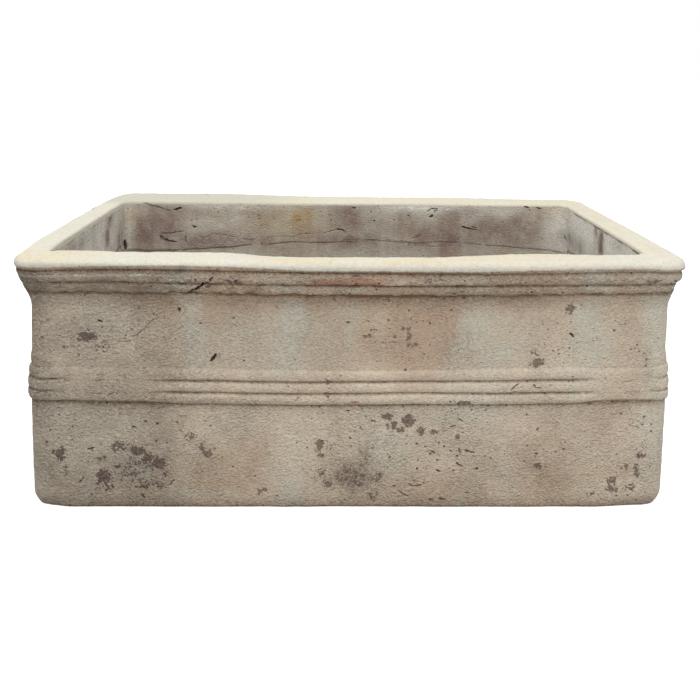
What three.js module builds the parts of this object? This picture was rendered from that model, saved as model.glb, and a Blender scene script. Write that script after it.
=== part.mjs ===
// Rectangular terracotta trough planter: a floor slab, four slab walls, a moulded rim and a reeded waist band.
// Millimetres, +Z up. The origin is the centre of the underside and +X runs along the trough.
import * as THREE from 'three';

// Overall size, measured over the lip of the rim
const troughLength = 800;
const troughDepth = 460;
const troughHeight = 312;

// Slabs
const wallThickness = 29;
const floorThickness = 28;
const footRadius = 13;

// Corners, seen from above
const lipCornerRadius = 28;
const innerCornerRadius = 12;

// Rim: a lip over two beads, on a ring of clay that is joined to the tops of the walls
const rimHeight = 72;
const rimOverhang = 17;
const lipHeight = 16;
const upperBeadHeight = 13.5;
const upperBeadReach = 12.5;
const lowerBeadHeight = 14;
const lowerBeadReach = 7;
const beadGrooveReach = 5;
const innerEdgeRadius = 4;

// Waist band: rounded reeds, one above another
const bandBottom = 136;
const reedCount = 3;
const reedHeight = 14.2;
const reedReach = 5.5;
const reedGrooveReach = 3.2;

// Drain holes through the floor slab
const drainHoleCount = 3;
const drainHoleDiameter = 28;
const drainSpacing = 240;

// Room that is left at the mitres, round the floor slab and behind the waist band
const jointGap = 0.3;

// Steps of the curves
const cornerSteps = 7;
const beadSteps = 8;
const edgeSteps = 5;
const drainHoleSides = 28;

// Sizes that follow from the ones above
const rimWidth = wallThickness + rimOverhang;
const rimBottom = troughHeight - rimHeight;
const lipRadius = lipHeight / 2;

const bareClay = new THREE.MeshStandardMaterial({ color: 0x8f7860, roughness: 0.95, metalness: 0 });
const washedClay = new THREE.MeshStandardMaterial({ color: 0xa39680, roughness: 0.95, metalness: 0 });
const paleClay = new THREE.MeshStandardMaterial({ color: 0xb9ab94, roughness: 0.95, metalness: 0 });
const limeWash = new THREE.MeshStandardMaterial({ color: 0xe8e0cb, roughness: 0.85, metalness: 0 });

// Radius of the plan corner, at an inset from the outline of the lip
function cornerRadiusAt(inset) {
  return lipCornerRadius + (innerCornerRadius - lipCornerRadius) * (inset / rimWidth);
}

// Plan inset of a point that stands out from the outer face of the wall by its reach
function insetOf(reach) {
  return rimOverhang - reach;
}

// Sections are drawn with the outside to the right and the height upwards, anticlockwise
function sectionPoint(inset, height) {
  return new THREE.Vector2(-inset, height);
}

// Rounded bead between two groove points, its nose at the given inset
function beadCurve(low, high, noseInset) {
  const points = [];
  for (let step = 1; step < beadSteps; step += 1) {
    const angle = Math.PI * (step / beadSteps - 1 / 2);
    const rise = (1 + Math.sin(angle)) / 2;
    const groove = THREE.MathUtils.lerp(low.x, high.x, rise);
    const outward = THREE.MathUtils.lerp(groove, -noseInset, Math.cos(angle));
    points.push(new THREE.Vector2(outward, THREE.MathUtils.lerp(low.y, high.y, rise)));
  }
  return points;
}

// Section of the rim: from the seam up the outside, over the lip and down the inside
function rimSection() {
  const lipBottom = troughHeight - lipHeight;
  const upperBeadBottom = lipBottom - upperBeadHeight;
  const lowerBeadBottom = upperBeadBottom - lowerBeadHeight;
  const underBeads = sectionPoint(insetOf(0), lowerBeadBottom);
  const betweenBeads = sectionPoint(insetOf(beadGrooveReach), upperBeadBottom);
  const underLip = sectionPoint(lipRadius, lipBottom);
  const overLip = sectionPoint(lipRadius, troughHeight);
  const points = [sectionPoint(rimWidth, rimBottom), sectionPoint(insetOf(0), rimBottom)];
  points.push(underBeads, ...beadCurve(underBeads, betweenBeads, insetOf(lowerBeadReach)));
  points.push(betweenBeads, ...beadCurve(betweenBeads, underLip, insetOf(upperBeadReach)));
  points.push(underLip, ...beadCurve(underLip, overLip, 0), overLip);
  for (let step = 0; step <= edgeSteps; step += 1) {
    const angle = (Math.PI / 2) * (step / edgeSteps);
    const inset = rimWidth - innerEdgeRadius * (1 - Math.sin(angle));
    points.push(sectionPoint(inset, troughHeight - innerEdgeRadius * (1 - Math.cos(angle))));
  }
  return points;
}

// Section of a wall: upright from the ground to the rim, with a rounded foot
function wallSection() {
  const points = [sectionPoint(rimWidth, 0)];
  for (let step = 0; step <= edgeSteps; step += 1) {
    const angle = (Math.PI / 2) * (step / edgeSteps);
    const inset = insetOf(0) + footRadius * (1 - Math.sin(angle));
    points.push(sectionPoint(inset, footRadius * (1 - Math.cos(angle))));
  }
  points.push(sectionPoint(insetOf(0), rimBottom), sectionPoint(rimWidth, rimBottom));
  return points;
}

// Section of the waist band: reeds in front, a flat back against the wall
function bandSection() {
  const points = [];
  for (let reed = 0; reed < reedCount; reed += 1) {
    const isLast = reed === reedCount - 1;
    const lowReach = reed === 0 ? jointGap : reedGrooveReach;
    const highReach = isLast ? jointGap : reedGrooveReach;
    const low = sectionPoint(insetOf(lowReach), bandBottom + reed * reedHeight);
    const high = sectionPoint(insetOf(highReach), bandBottom + (reed + 1) * reedHeight);
    points.push(low, ...beadCurve(low, high, insetOf(reedReach)));
    if (isLast) points.push(high);
  }
  return points;
}

// Path of one section point along a side that faces -Y, from mitre to mitre
function pathAlongSide(inset, height, halfAlong, halfAcross) {
  const radius = cornerRadiusAt(inset);
  const turn = Math.PI / 4 - Math.asin(jointGap / 2 / radius);
  const centreAlong = halfAlong - inset - radius;
  const centreAcross = halfAcross - inset - radius;
  const rightHalf = [];
  for (let step = 0; step <= cornerSteps; step += 1) {
    const angle = turn * (step / cornerSteps);
    const along = centreAlong + radius * Math.sin(angle);
    rightHalf.push(new THREE.Vector3(along, -centreAcross - radius * Math.cos(angle), height));
  }
  const leftHalf = rightHalf.map((point) => new THREE.Vector3(-point.x, point.y, point.z));
  return [...leftHalf.reverse(), ...rightHalf];
}

// Solid that follows a section along one side of the trough, with a mitre at each end
function mitredRun(section, halfAlong, halfAcross) {
  const paths = section.map((point) => pathAlongSide(-point.x, point.y, halfAlong, halfAcross));
  const pathLength = paths[0].length;
  const indexOf = (path, station) => (path % section.length) * pathLength + station;
  const triangles = [];
  for (let path = 0; path < section.length; path += 1) {
    for (let station = 0; station < pathLength - 1; station += 1) {
      const start = indexOf(path, station);
      const end = indexOf(path, station + 1);
      const nextStart = indexOf(path + 1, station);
      const nextEnd = indexOf(path + 1, station + 1);
      triangles.push([start, end, nextEnd], [start, nextEnd, nextStart]);
    }
  }
  for (const [a, b, c] of THREE.ShapeUtils.triangulateShape(section, [])) {
    triangles.push([a, b, c].map((path) => indexOf(path, 0)));
    triangles.push([a, c, b].map((path) => indexOf(path, pathLength - 1)));
  }
  const positions = paths.flat().flatMap((point) => point.toArray());
  const geometry = new THREE.BufferGeometry();
  geometry.setAttribute('position', new THREE.Float32BufferAttribute(positions, 3));
  geometry.setIndex(triangles.flat());
  geometry.computeVertexNormals();
  return geometry;
}

// Floor slab between the walls, with its row of drain holes
function floorGeometry() {
  const inset = rimWidth + jointGap;
  const radius = cornerRadiusAt(inset);
  const centreX = troughLength / 2 - inset - radius;
  const centreY = troughDepth / 2 - inset - radius;
  const outline = new THREE.Shape();
  outline.absarc(centreX, centreY, radius, 0, Math.PI / 2);
  outline.absarc(-centreX, centreY, radius, Math.PI / 2, Math.PI);
  outline.absarc(-centreX, -centreY, radius, Math.PI, Math.PI * 3 / 2);
  outline.absarc(centreX, -centreY, radius, Math.PI * 3 / 2, Math.PI * 2);
  for (let hole = 0; hole < drainHoleCount; hole += 1) {
    const path = new THREE.Path();
    path.absarc((hole - (drainHoleCount - 1) / 2) * drainSpacing, 0, drainHoleDiameter / 2, 0, Math.PI * 2);
    outline.holes.push(path);
  }
  return new THREE.ExtrudeGeometry(outline, {
    depth: floorThickness,
    bevelEnabled: false,
    curveSegments: drainHoleSides,
  });
}

// The four sides, each as a turn of the side that faces -Y
const longSide = [troughLength / 2, troughDepth / 2];
const shortSide = [troughDepth / 2, troughLength / 2];
const sides = [
  { name: 'front', turn: 0, halves: longSide },
  { name: 'right', turn: Math.PI / 2, halves: shortSide },
  { name: 'back', turn: Math.PI, halves: longSide },
  { name: 'left', turn: -Math.PI / 2, halves: shortSide },
];

const runs = [
  { name: 'wall', section: wallSection(), material: washedClay },
  { name: 'rim', section: rimSection(), material: limeWash },
  { name: 'band', section: bandSection(), material: paleClay },
];

const trough = new THREE.Group();

const floorSlab = new THREE.Mesh(floorGeometry(), bareClay);
floorSlab.name = 'floor_slab';
trough.add(floorSlab);

for (const run of runs) {
  for (const side of sides) {
    const mesh = new THREE.Mesh(mitredRun(run.section, ...side.halves), run.material);
    mesh.name = `${run.name}_${side.name}`;
    mesh.rotation.z = side.turn;
    trough.add(mesh);
  }
}

export default trough;
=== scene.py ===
"""Looks of a rectangular terracotta trough planter with a limed rim and a reeded waist band."""
import math

import bmesh
import bpy
import numpy as np
from bpy.props import FloatProperty, FloatVectorProperty, IntProperty, PointerProperty
from mathutils import Matrix, Vector
from mathutils.geometry import delaunay_2d_cdt


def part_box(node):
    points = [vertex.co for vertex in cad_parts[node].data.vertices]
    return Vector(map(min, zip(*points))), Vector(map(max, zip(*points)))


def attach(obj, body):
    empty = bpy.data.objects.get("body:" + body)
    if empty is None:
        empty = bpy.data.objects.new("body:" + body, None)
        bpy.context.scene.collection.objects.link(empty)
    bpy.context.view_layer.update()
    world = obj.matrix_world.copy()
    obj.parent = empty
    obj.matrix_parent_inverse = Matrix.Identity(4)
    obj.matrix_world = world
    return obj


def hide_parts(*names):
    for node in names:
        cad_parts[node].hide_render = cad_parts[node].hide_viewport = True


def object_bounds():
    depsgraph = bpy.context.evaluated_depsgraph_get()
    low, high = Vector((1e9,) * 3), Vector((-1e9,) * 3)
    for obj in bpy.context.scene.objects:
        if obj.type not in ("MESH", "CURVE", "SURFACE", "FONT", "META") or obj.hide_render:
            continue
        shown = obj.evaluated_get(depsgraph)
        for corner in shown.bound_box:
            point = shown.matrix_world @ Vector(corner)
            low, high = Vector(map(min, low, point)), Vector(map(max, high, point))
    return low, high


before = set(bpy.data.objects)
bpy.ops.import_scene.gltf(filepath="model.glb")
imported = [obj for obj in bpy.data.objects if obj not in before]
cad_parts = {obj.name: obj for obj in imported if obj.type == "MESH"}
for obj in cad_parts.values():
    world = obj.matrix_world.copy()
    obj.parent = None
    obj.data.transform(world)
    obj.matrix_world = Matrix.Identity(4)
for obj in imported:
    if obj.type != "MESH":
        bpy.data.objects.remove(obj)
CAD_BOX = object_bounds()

bl_info = {
    "name": "Terracotta Trough",
    "version": (1, 0, 0),
    "blender": (4, 5, 0),
    "location": "3D View > Sidebar > Trough",
    "description": "Builds the looks of a limewashed terracotta trough round its frame",
    "category": "Object",
}

# Sizes that the frame gives, in metres
HALF_LENGTH = CAD_BOX[1].x
HALF_DEPTH = CAD_BOX[1].y
HEIGHT = CAD_BOX[1].z
OVERHANG = HALF_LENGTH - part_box("wall_right")[1].x
RIM_WIDTH = HALF_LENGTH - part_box("floor_slab")[1].x
FLOOR_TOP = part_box("floor_slab")[1].z
SEAM_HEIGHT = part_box("wall_front")[1].z
BAND_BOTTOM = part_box("band_front")[0].z
BAND_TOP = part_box("band_front")[1].z
FRONT_PLANE = -HALF_DEPTH + OVERHANG
INNER_BACK_PLANE = HALF_DEPTH - RIM_WIDTH

# The photograph's frame, in its own pixels
PHOTO_SIZE = 700


# Named colours

def srgb(red, green, blue):
    """Scene colour of a colour given as it shows, 0 to 255."""
    shown = np.array((red, green, blue)) / 255
    linear = np.where(shown <= 0.04045, shown / 12.92, ((shown + 0.055) / 1.055) ** 2.4)
    return tuple(float(channel) for channel in linear)


# Settings

class TroughForm(bpy.types.PropertyGroup):
    """Sizes of the trough's clay that the frame leaves to the surface"""

    lip_corner_radius: FloatProperty(
        name="Lip corner radius", description="Plan radius of the lip's corners",
        default=0.028, unit="LENGTH")
    wall_corner_radius: FloatProperty(
        name="Wall corner radius", description="Plan radius of the walls' outer corners", default=0.022,
        unit="LENGTH")
    inner_corner_radius: FloatProperty(
        name="Inner corner radius", description="Plan radius of the inside corners",
        default=0.018, unit="LENGTH")
    end_widening: FloatProperty(
        name="End widening", description="How much narrower the rim is at the two ends", default=0.0095,
        unit="LENGTH")
    lip_height: FloatProperty(
        name="Lip height", description="Height of the half-round lip", default=0.016, unit="LENGTH")
    mouldings_height: FloatProperty(
        name="Mouldings height", description="Height of lip and beads together",
        default=0.0435, unit="LENGTH")
    upper_bead_height: FloatProperty(
        name="Upper bead height", description="Height of the bead under the lip",
        default=0.0135, unit="LENGTH")
    cavetto_reach: FloatProperty(
        name="Cavetto reach", description="How far the flare under the lip stands out", default=0.015,
        unit="LENGTH")
    inner_edge_radius: FloatProperty(
        name="Inner edge radius", description="Rounding of the rim's inner edge",
        default=0.0035, unit="LENGTH")
    foot_radius: FloatProperty(
        name="Foot radius", description="How far the lower edge is rounded in", default=0.0025, unit="LENGTH")
    foot_height: FloatProperty(
        name="Foot height", description="Height over which the lower edge is rounded",
        default=0.008, unit="LENGTH")
    band_reach: FloatProperty(
        name="Band reach", description="How far the waist band stands out", default=0.0018, unit="LENGTH")
    groove_depth: FloatProperty(
        name="Groove depth", description="Depth of the grooves in the waist band",
        default=0.0014, unit="LENGTH")
    reed_swell: FloatProperty(
        name="Reed swell", description="How far each reed bulges", default=0.0024, unit="LENGTH")
    front_sag: FloatProperty(
        name="Front sag", description="How far the front sinks between its corners",
        default=0.0024, unit="LENGTH")
    wander: FloatProperty(
        name="Wander", description="How far level lines drift by hand", default=0.001, unit="LENGTH")
    fine_step: FloatProperty(
        name="Fine step", description="Spacing of the mesh along the front", default=0.0025, unit="LENGTH")
    coarse_step: FloatProperty(
        name="Coarse step", description="Spacing of the mesh along the other sides",
        default=0.006, unit="LENGTH")
    corner_steps: IntProperty(
        name="Corner steps", description="Steps round each corner", default=12)


class TroughFinish(bpy.types.PropertyGroup):
    """Colours of the weathered wash"""

    wash: FloatVectorProperty(
        name="Wash", description="Tan lime wash", subtype="COLOR", default=srgb(187, 168, 147))
    warm: FloatVectorProperty(
        name="Warm wash", description="Pinkish tan wash", subtype="COLOR", default=srgb(165, 142, 121))
    cool: FloatVectorProperty(
        name="Cool wash", description="Greenish grey wash", subtype="COLOR", default=srgb(180, 176, 162))
    pale: FloatVectorProperty(
        name="Pale wash", description="Wash where it is thick and dry", subtype="COLOR",
        default=srgb(212, 200, 181))
    lime: FloatVectorProperty(
        name="Lime", description="Thick cream lime on the lip", subtype="COLOR", default=srgb(208, 205, 193))
    lime_yellow: FloatVectorProperty(
        name="Yellow lime", description="Yellowed lime on the lip", subtype="COLOR",
        default=srgb(208, 198, 172))
    lime_grey: FloatVectorProperty(
        name="Grey lime", description="Greenish grey lime on the lip", subtype="COLOR",
        default=srgb(203, 206, 194))
    stain: FloatVectorProperty(
        name="Stain", description="Dark clay where the wash has flaked", subtype="COLOR",
        default=srgb(110, 91, 83))
    bare: FloatVectorProperty(
        name="Bare clay", description="Reddish clay with no wash", subtype="COLOR",
        default=srgb(163, 124, 101))
    # Brown used for dirt, and as painted shade in grooves, under the lip, beads and band, and at the foot
    grime_and_shade: FloatVectorProperty(
        name="Grime", description="Brown dirt in grooves", subtype="COLOR", default=srgb(108, 83, 61))
    # Sooty brown used for soot clouds, and as painted shade down the front's left edge and along the beads
    # and the band
    smoke_and_shade: FloatVectorProperty(
        name="Smoke", description="Sooty clouds on the wash", subtype="COLOR", default=srgb(118, 104, 92))
    worn_stain: FloatVectorProperty(
        name="Worn stain", description="Flaked clay where it is dusty", subtype="COLOR",
        default=srgb(136, 118, 107))
    lime_border: FloatVectorProperty(
        name="Lime border", description="Thin lime at its lower edge", subtype="COLOR",
        default=srgb(176, 172, 154))
    dull_lime: FloatVectorProperty(
        name="Dull lime", description="Dirty lime on the back rim", subtype="COLOR",
        default=srgb(186, 184, 168))
    # Used as painted shade inside pits, cracks, gashes and pinholes, and for dark specks in the dirt and
    # painted shade of the grooves
    hollow: FloatVectorProperty(
        name="Hollow", description="Dark inside of pits", subtype="COLOR", default=srgb(66, 54, 46))
    lining: FloatVectorProperty(
        name="Lining", description="Wash inside the trough", subtype="COLOR", default=srgb(163, 152, 136))
    damp: FloatVectorProperty(
        name="Damp", description="Purple brown damp stains inside", subtype="COLOR",
        default=srgb(134, 115, 107))
    ochre: FloatVectorProperty(
        name="Ochre", description="Ochre stains inside", subtype="COLOR", default=srgb(172, 146, 108))
    chalk: FloatVectorProperty(
        name="Chalk", description="Pale bluish runs inside", subtype="COLOR", default=srgb(228, 227, 217))
    floor_clay: FloatVectorProperty(
        name="Floor clay", description="Bare clay of the floor slab", subtype="COLOR",
        default=srgb(154, 124, 101))


class TroughStage(bpy.types.PropertyGroup):
    """Camera and lights"""

    camera_place: FloatVectorProperty(
        name="Camera place", description="Where the camera stands", unit="LENGTH",
        default=(-0.0264, -1.1742, 0.531))
    camera_yaw: FloatProperty(
        name="Camera yaw", description="Turn to the left", unit="ROTATION", default=math.radians(-1.33))
    camera_pitch: FloatProperty(
        name="Camera pitch", description="Tilt downwards", unit="ROTATION", default=math.radians(7.24))
    camera_roll: FloatProperty(
        name="Camera roll", description="Roll of the picture, clockwise", unit="ROTATION",
        default=math.radians(0.69))
    focal_pixels: FloatProperty(
        name="Focal length", description="Focal length in pixels of the picture", default=835.9)
    horizon_row: FloatProperty(
        name="Axis row", description="Row of the picture that the optical axis meets", default=175.0)
    sky_strength: FloatProperty(
        name="Sky strength", description="Even light from all round", default=0.74)
    sky_panel_power: FloatProperty(
        name="Overhead power", description="Power of the overhead panel", unit="POWER", default=4.0)
    front_panel_power: FloatProperty(
        name="Front power", description="Power of the panel in front", unit="POWER", default=39.5)
    back_panel_power: FloatProperty(
        name="Back power", description="Power of the panel behind", unit="POWER", default=14.0)
    left_panel_power: FloatProperty(
        name="Left power", description="Power of the panel on the left", unit="POWER", default=7.0)
    right_panel_power: FloatProperty(
        name="Right power", description="Power of the panel on the right", unit="POWER", default=5.0)
    floor_tint: FloatVectorProperty(
        name="Floor", description="Colour of the floor as it is seen", subtype="COLOR",
        default=(0.8, 0.8, 0.8))
    floor_glow: FloatProperty(
        name="Floor glow", description="Whitening of the floor as it is seen", default=0.56)
    bounce_tint: FloatVectorProperty(
        name="Floor bounce", description="Colour that the floor throws back", subtype="COLOR",
        default=(0.52, 0.51, 0.49))


def form():
    return bpy.context.scene.trough_form


def finish():
    return bpy.context.scene.trough_finish


def stage():
    return bpy.context.scene.trough_stage


# Camera geometry, shared by the camera and by marks that are placed by pixel

def camera_axes():
    """Right, up and forward directions of the camera."""
    view = stage()
    yaw, pitch, roll = view.camera_yaw, view.camera_pitch, view.camera_roll
    ahead = Vector((-math.sin(yaw), math.cos(yaw), 0))
    right = Vector((math.cos(yaw), math.sin(yaw), 0))
    forward = ahead * math.cos(pitch) - Vector((0, 0, math.sin(pitch)))
    up = ahead * math.sin(pitch) + Vector((0, 0, math.cos(pitch)))
    rolled_right = right * math.cos(roll) + up * math.sin(roll)
    rolled_up = up * math.cos(roll) - right * math.sin(roll)
    return rolled_right, rolled_up, forward


def on_plane(column, row, plane, facing=1):
    """Point that a pixel of the photograph shows of an upright plane, which faces along x (0) or y (1)."""
    view = stage()
    right, up, forward = camera_axes()
    ray = forward * view.focal_pixels
    ray += right * (column - PHOTO_SIZE / 2)
    ray -= up * (row - view.horizon_row)
    place = Vector(view.camera_place)
    return place + ray * ((plane - place[facing]) / ray[facing])


# Level lines of the front as the photograph shows them: column and row of each point
TRACED_LINES = {
    "lime_edge": ((40, 268), (90, 266.5), (130, 266), (180, 266), (240, 267.5), (310, 271.5), (490, 272.5),
        (530, 271), (580, 270), (640, 269.5)),
    "lip_groove": ((40, 271.3), (80, 270.2), (130, 269.2), (220, 271), (310, 272.8), (430, 274), (530, 274.2),
        (640, 272.2)),
    "bead_groove": ((40, 282.5), (120, 281.4), (190, 283.2), (280, 284.9), (430, 286.4), (550, 285.7),
        (640, 284.6)),
    "under_bead": ((40, 292), (100, 291.6), (190, 292), (280, 294.2), (400, 295.7), (520, 294.9),
        (640, 292.8)),
    "band_top": ((30, 366), (90, 364), (160, 366.5), (250, 368.6), (340, 370.3), (430, 369.8), (520, 367.8),
        (600, 366.2), (655, 364)),
    "upper_groove": ((30, 376.6), (130, 379.4), (220, 379.8), (290, 381.5), (400, 381), (520, 380),
        (580, 379), (655, 376.6)),
    "lower_groove": ((30, 388.6), (100, 390.7), (220, 391.6), (290, 393), (370, 392.8), (430, 392.2),
        (490, 392.8), (580, 391.6), (655, 389.5)),
    "low_line": ((30, 400), (100, 402.7), (220, 403.6), (310, 404.8), (400, 404.5), (520, 404.2),
        (580, 402.8), (655, 400.5)),
}


# The upright plane that each traced line lies in, and how many pixels lower the bottom of its groove is
LINE_PLACES = {
    "lime_edge": (-HALF_DEPTH + 0.003, -1),
    "lip_groove": (-HALF_DEPTH + 0.004, 0.1),
    "bead_groove": (FRONT_PLANE - 0.011, 0.3),
    "under_bead": (FRONT_PLANE - 0.005, 0.6),
    "band_top": (FRONT_PLANE - 0.003, 0.6),
    "upper_groove": (FRONT_PLANE - 0.003, 1.7),
    "lower_groove": (FRONT_PLANE - 0.003, 1.7),
    "low_line": (FRONT_PLANE - 0.003, 1.4),
}


def traced_height(name, x):
    """Height of a traced line at places along the front, taken back to before the trough settles."""
    plane, lower = LINE_PLACES[name]
    places = [on_plane(column, row + lower, plane) for column, row in TRACED_LINES[name]]
    height = np.interp(x, [place.x for place in places], [place.z for place in places])
    points = np.stack([x, np.full(len(x), plane), height], axis=-1)
    return height - (settle(points) - points)[:, 2]


# How often the faces round marks are halved, and how far past the inner faces still counts as inside
HALVING_ROUNDS = 2
INSIDE_MARGIN = 0.004

# How far from the back wall the wear of the ends' inner edges stops
BACK_CORNER = 0.012


# Noise: smooth random values on a lattice, the same on every run

def lattice_value(cell, seed):
    """Random value from 0 to 1 for each lattice cell."""
    words = cell.astype(np.uint32)
    mixed = words[..., 0] * np.uint32(73856093)
    mixed ^= words[..., 1] * np.uint32(19349663)
    mixed ^= words[..., 2] * np.uint32(83492791)
    mixed ^= np.uint32(seed * 2654435761 % 2 ** 32)
    for shift, factor in ((13, 1540483477), (15, 2246822519), (16, 3266489917)):
        mixed ^= mixed >> np.uint32(shift)
        mixed *= np.uint32(factor)
    return (mixed >> np.uint32(8)) / float(2 ** 24)


def smooth_noise(points, wavelength, seed):
    """Smooth noise from -1 to 1."""
    spread = points / wavelength + 512.5
    cell = np.floor(spread).astype(np.int64)
    part = spread - cell
    part = part * part * part * (part * (part * 6 - 15) + 10)
    total = np.zeros(points.shape[:-1])
    for corner in np.ndindex(2, 2, 2):
        weight = np.prod(np.where(np.array(corner) == 1, part, 1 - part), axis=-1)
        total += weight * lattice_value(cell + np.array(corner), seed)
    return total * 2 - 1


def layered_noise(points, wavelength, seed, layers=3):
    """Several octaves of smooth noise, each half as long and half as strong."""
    total = np.zeros(points.shape[:-1])
    for layer in range(layers):
        total += smooth_noise(points, wavelength / 2 ** layer, seed + layer) / 2 ** layer
    return total


def ease(low, high, value):
    """Smooth step from 0 at low to 1 at high."""
    part = np.clip((value - low) / (high - low), 0, 1)
    return part * part * (3 - 2 * part)


def bump(centre, width, value):
    """Soft bump of height 1."""
    return np.exp(-((value - centre) / width) ** 2)


# Plan: stations round the trough

# How much rounder than the others the back left corner is, and how much tighter the foot's corners are
BACK_LEFT_SOFTNESS = 0.022
FOOT_TIGHTENING = 0.0028


class Ring:
    """Stations along the rounded-rectangle plan, anticlockwise from the front's left end."""

    def __init__(self):
        front_step, other_step, corner_steps = form().fine_step, form().coarse_step, form().corner_steps
        reach_x, reach_y, angles = [], [], []
        spans = (
            ((-1, -1), (1, -1), HALF_LENGTH, front_step),
            ((1, -1), (1, 1), HALF_DEPTH, other_step),
            ((1, 1), (-1, 1), HALF_LENGTH, other_step),
            ((-1, 1), (-1, -1), HALF_DEPTH, other_step),
        )
        for side, (start, end, half, step) in enumerate(spans):
            count = int(round(2 * half / step))
            for share in np.arange(count) / count:
                reach_x.append(start[0] + (end[0] - start[0]) * share)
                reach_y.append(start[1] + (end[1] - start[1]) * share)
                angles.append(math.radians(90 * (side - 1)))
            for turn in np.arange(corner_steps) / corner_steps:
                reach_x.append(end[0])
                reach_y.append(end[1])
                angles.append(math.radians(90 * (side - 1 + turn)))
        self.reach_x = np.array(reach_x)
        self.reach_y = np.array(reach_y)
        self.out_x = np.cos(angles)
        self.out_y = np.sin(angles)
        self.count = len(angles)
        self.soft_corner = BACK_LEFT_SOFTNESS * (1 - self.reach_x) / 2 * (1 + self.reach_y) / 2
        outline = self.points(np.zeros((1, self.count)), 0)[0]
        steps = np.linalg.norm(np.diff(outline, axis=0), axis=1)
        self.arc = np.concatenate([[0], np.cumsum(steps)])

    def points(self, inset, height):
        """Points for insets and heights, one row for each point of the section."""
        sizes = form()
        share = np.clip(inset / RIM_WIDTH, 0, 1)
        outer = np.interp(inset, (0, OVERHANG), (sizes.lip_corner_radius, sizes.wall_corner_radius))
        inner = sizes.inner_corner_radius * (0.725 + 0.275 * self.reach_y)
        corner = outer + (inner - outer) * np.clip((inset - OVERHANG) / (RIM_WIDTH - OVERHANG), 0, 1)
        tightening = (FOOT_TIGHTENING - 0.0014 * self.reach_x) * ease(0.03, 0, height)
        corner = corner + self.soft_corner * (1 - share) - tightening
        widening = sizes.end_widening - 0.0015 * self.reach_x
        widening = widening * ease(0.022, RIM_WIDTH - 0.003, inset) * ease(FLOOR_TOP + 0.03, 0.2, height)
        x = self.reach_x * (HALF_LENGTH - inset + widening - corner) + self.out_x * corner
        y = self.reach_y * (HALF_DEPTH - inset - corner) + self.out_y * corner
        return np.stack([x, y, np.broadcast_to(height, x.shape)], axis=-1)

    def cornering(self, width):
        """1 at the corners, 0 further from them than the width, in metres."""
        from_end_x = (1 - np.abs(self.reach_x)) * HALF_LENGTH
        from_end_y = (1 - np.abs(self.reach_y)) * HALF_DEPTH
        return ease(width, 0, np.maximum(from_end_x, from_end_y))

    def on_front(self):
        """True along the front's straight run."""
        return (self.reach_y == -1) & (np.abs(self.reach_x) < 1)


# Marks of wear, placed by the photograph's pixels

class Mark:
    """A pit, gash or crack: a line of points on an upright face, with a half width and a depth in metres.

    A depth below nothing is a raised ridge.
    """

    def __init__(self, start, end, width, depth, plane_y):
        self.start = np.array(on_plane(*start, plane_y))
        self.line = np.array(on_plane(*end, plane_y)) - self.start
        self.thin = width < 0.0012
        self.width = width
        self.depth = depth
        # How dark the painted shade inside the mark is: darker where it is deeper, none for a raised ridge
        self.tone = min(1, 0.25 + depth / 0.0035) if depth > 0 else 0

    def closeness(self, points):
        """1 on the line and 0 at its width."""
        offset = points - self.start
        length = self.line @ self.line
        along = np.clip(offset @ self.line / max(length, 1e-9), 0, 1)
        distance = np.linalg.norm(offset - along[..., None] * self.line, axis=-1)
        taper = 1 - 0.4 * np.abs(along * 2 - 1) * (length > 0)
        return 1 - distance / (self.width * taper)


def marks_of(features, plane_y):
    """Marks of a table of named features: half width and depth in millimetres, then lines of pixels."""
    marks = []
    for width, depth, *lines in features.values():
        for line in lines:
            ends = zip(line, line[1:]) if len(line) > 1 else ((line[0], line[0]),)
            marks += [Mark(start, end, width / 1000, depth / 1000, plane_y) for start, end in ends]
    return marks


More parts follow.
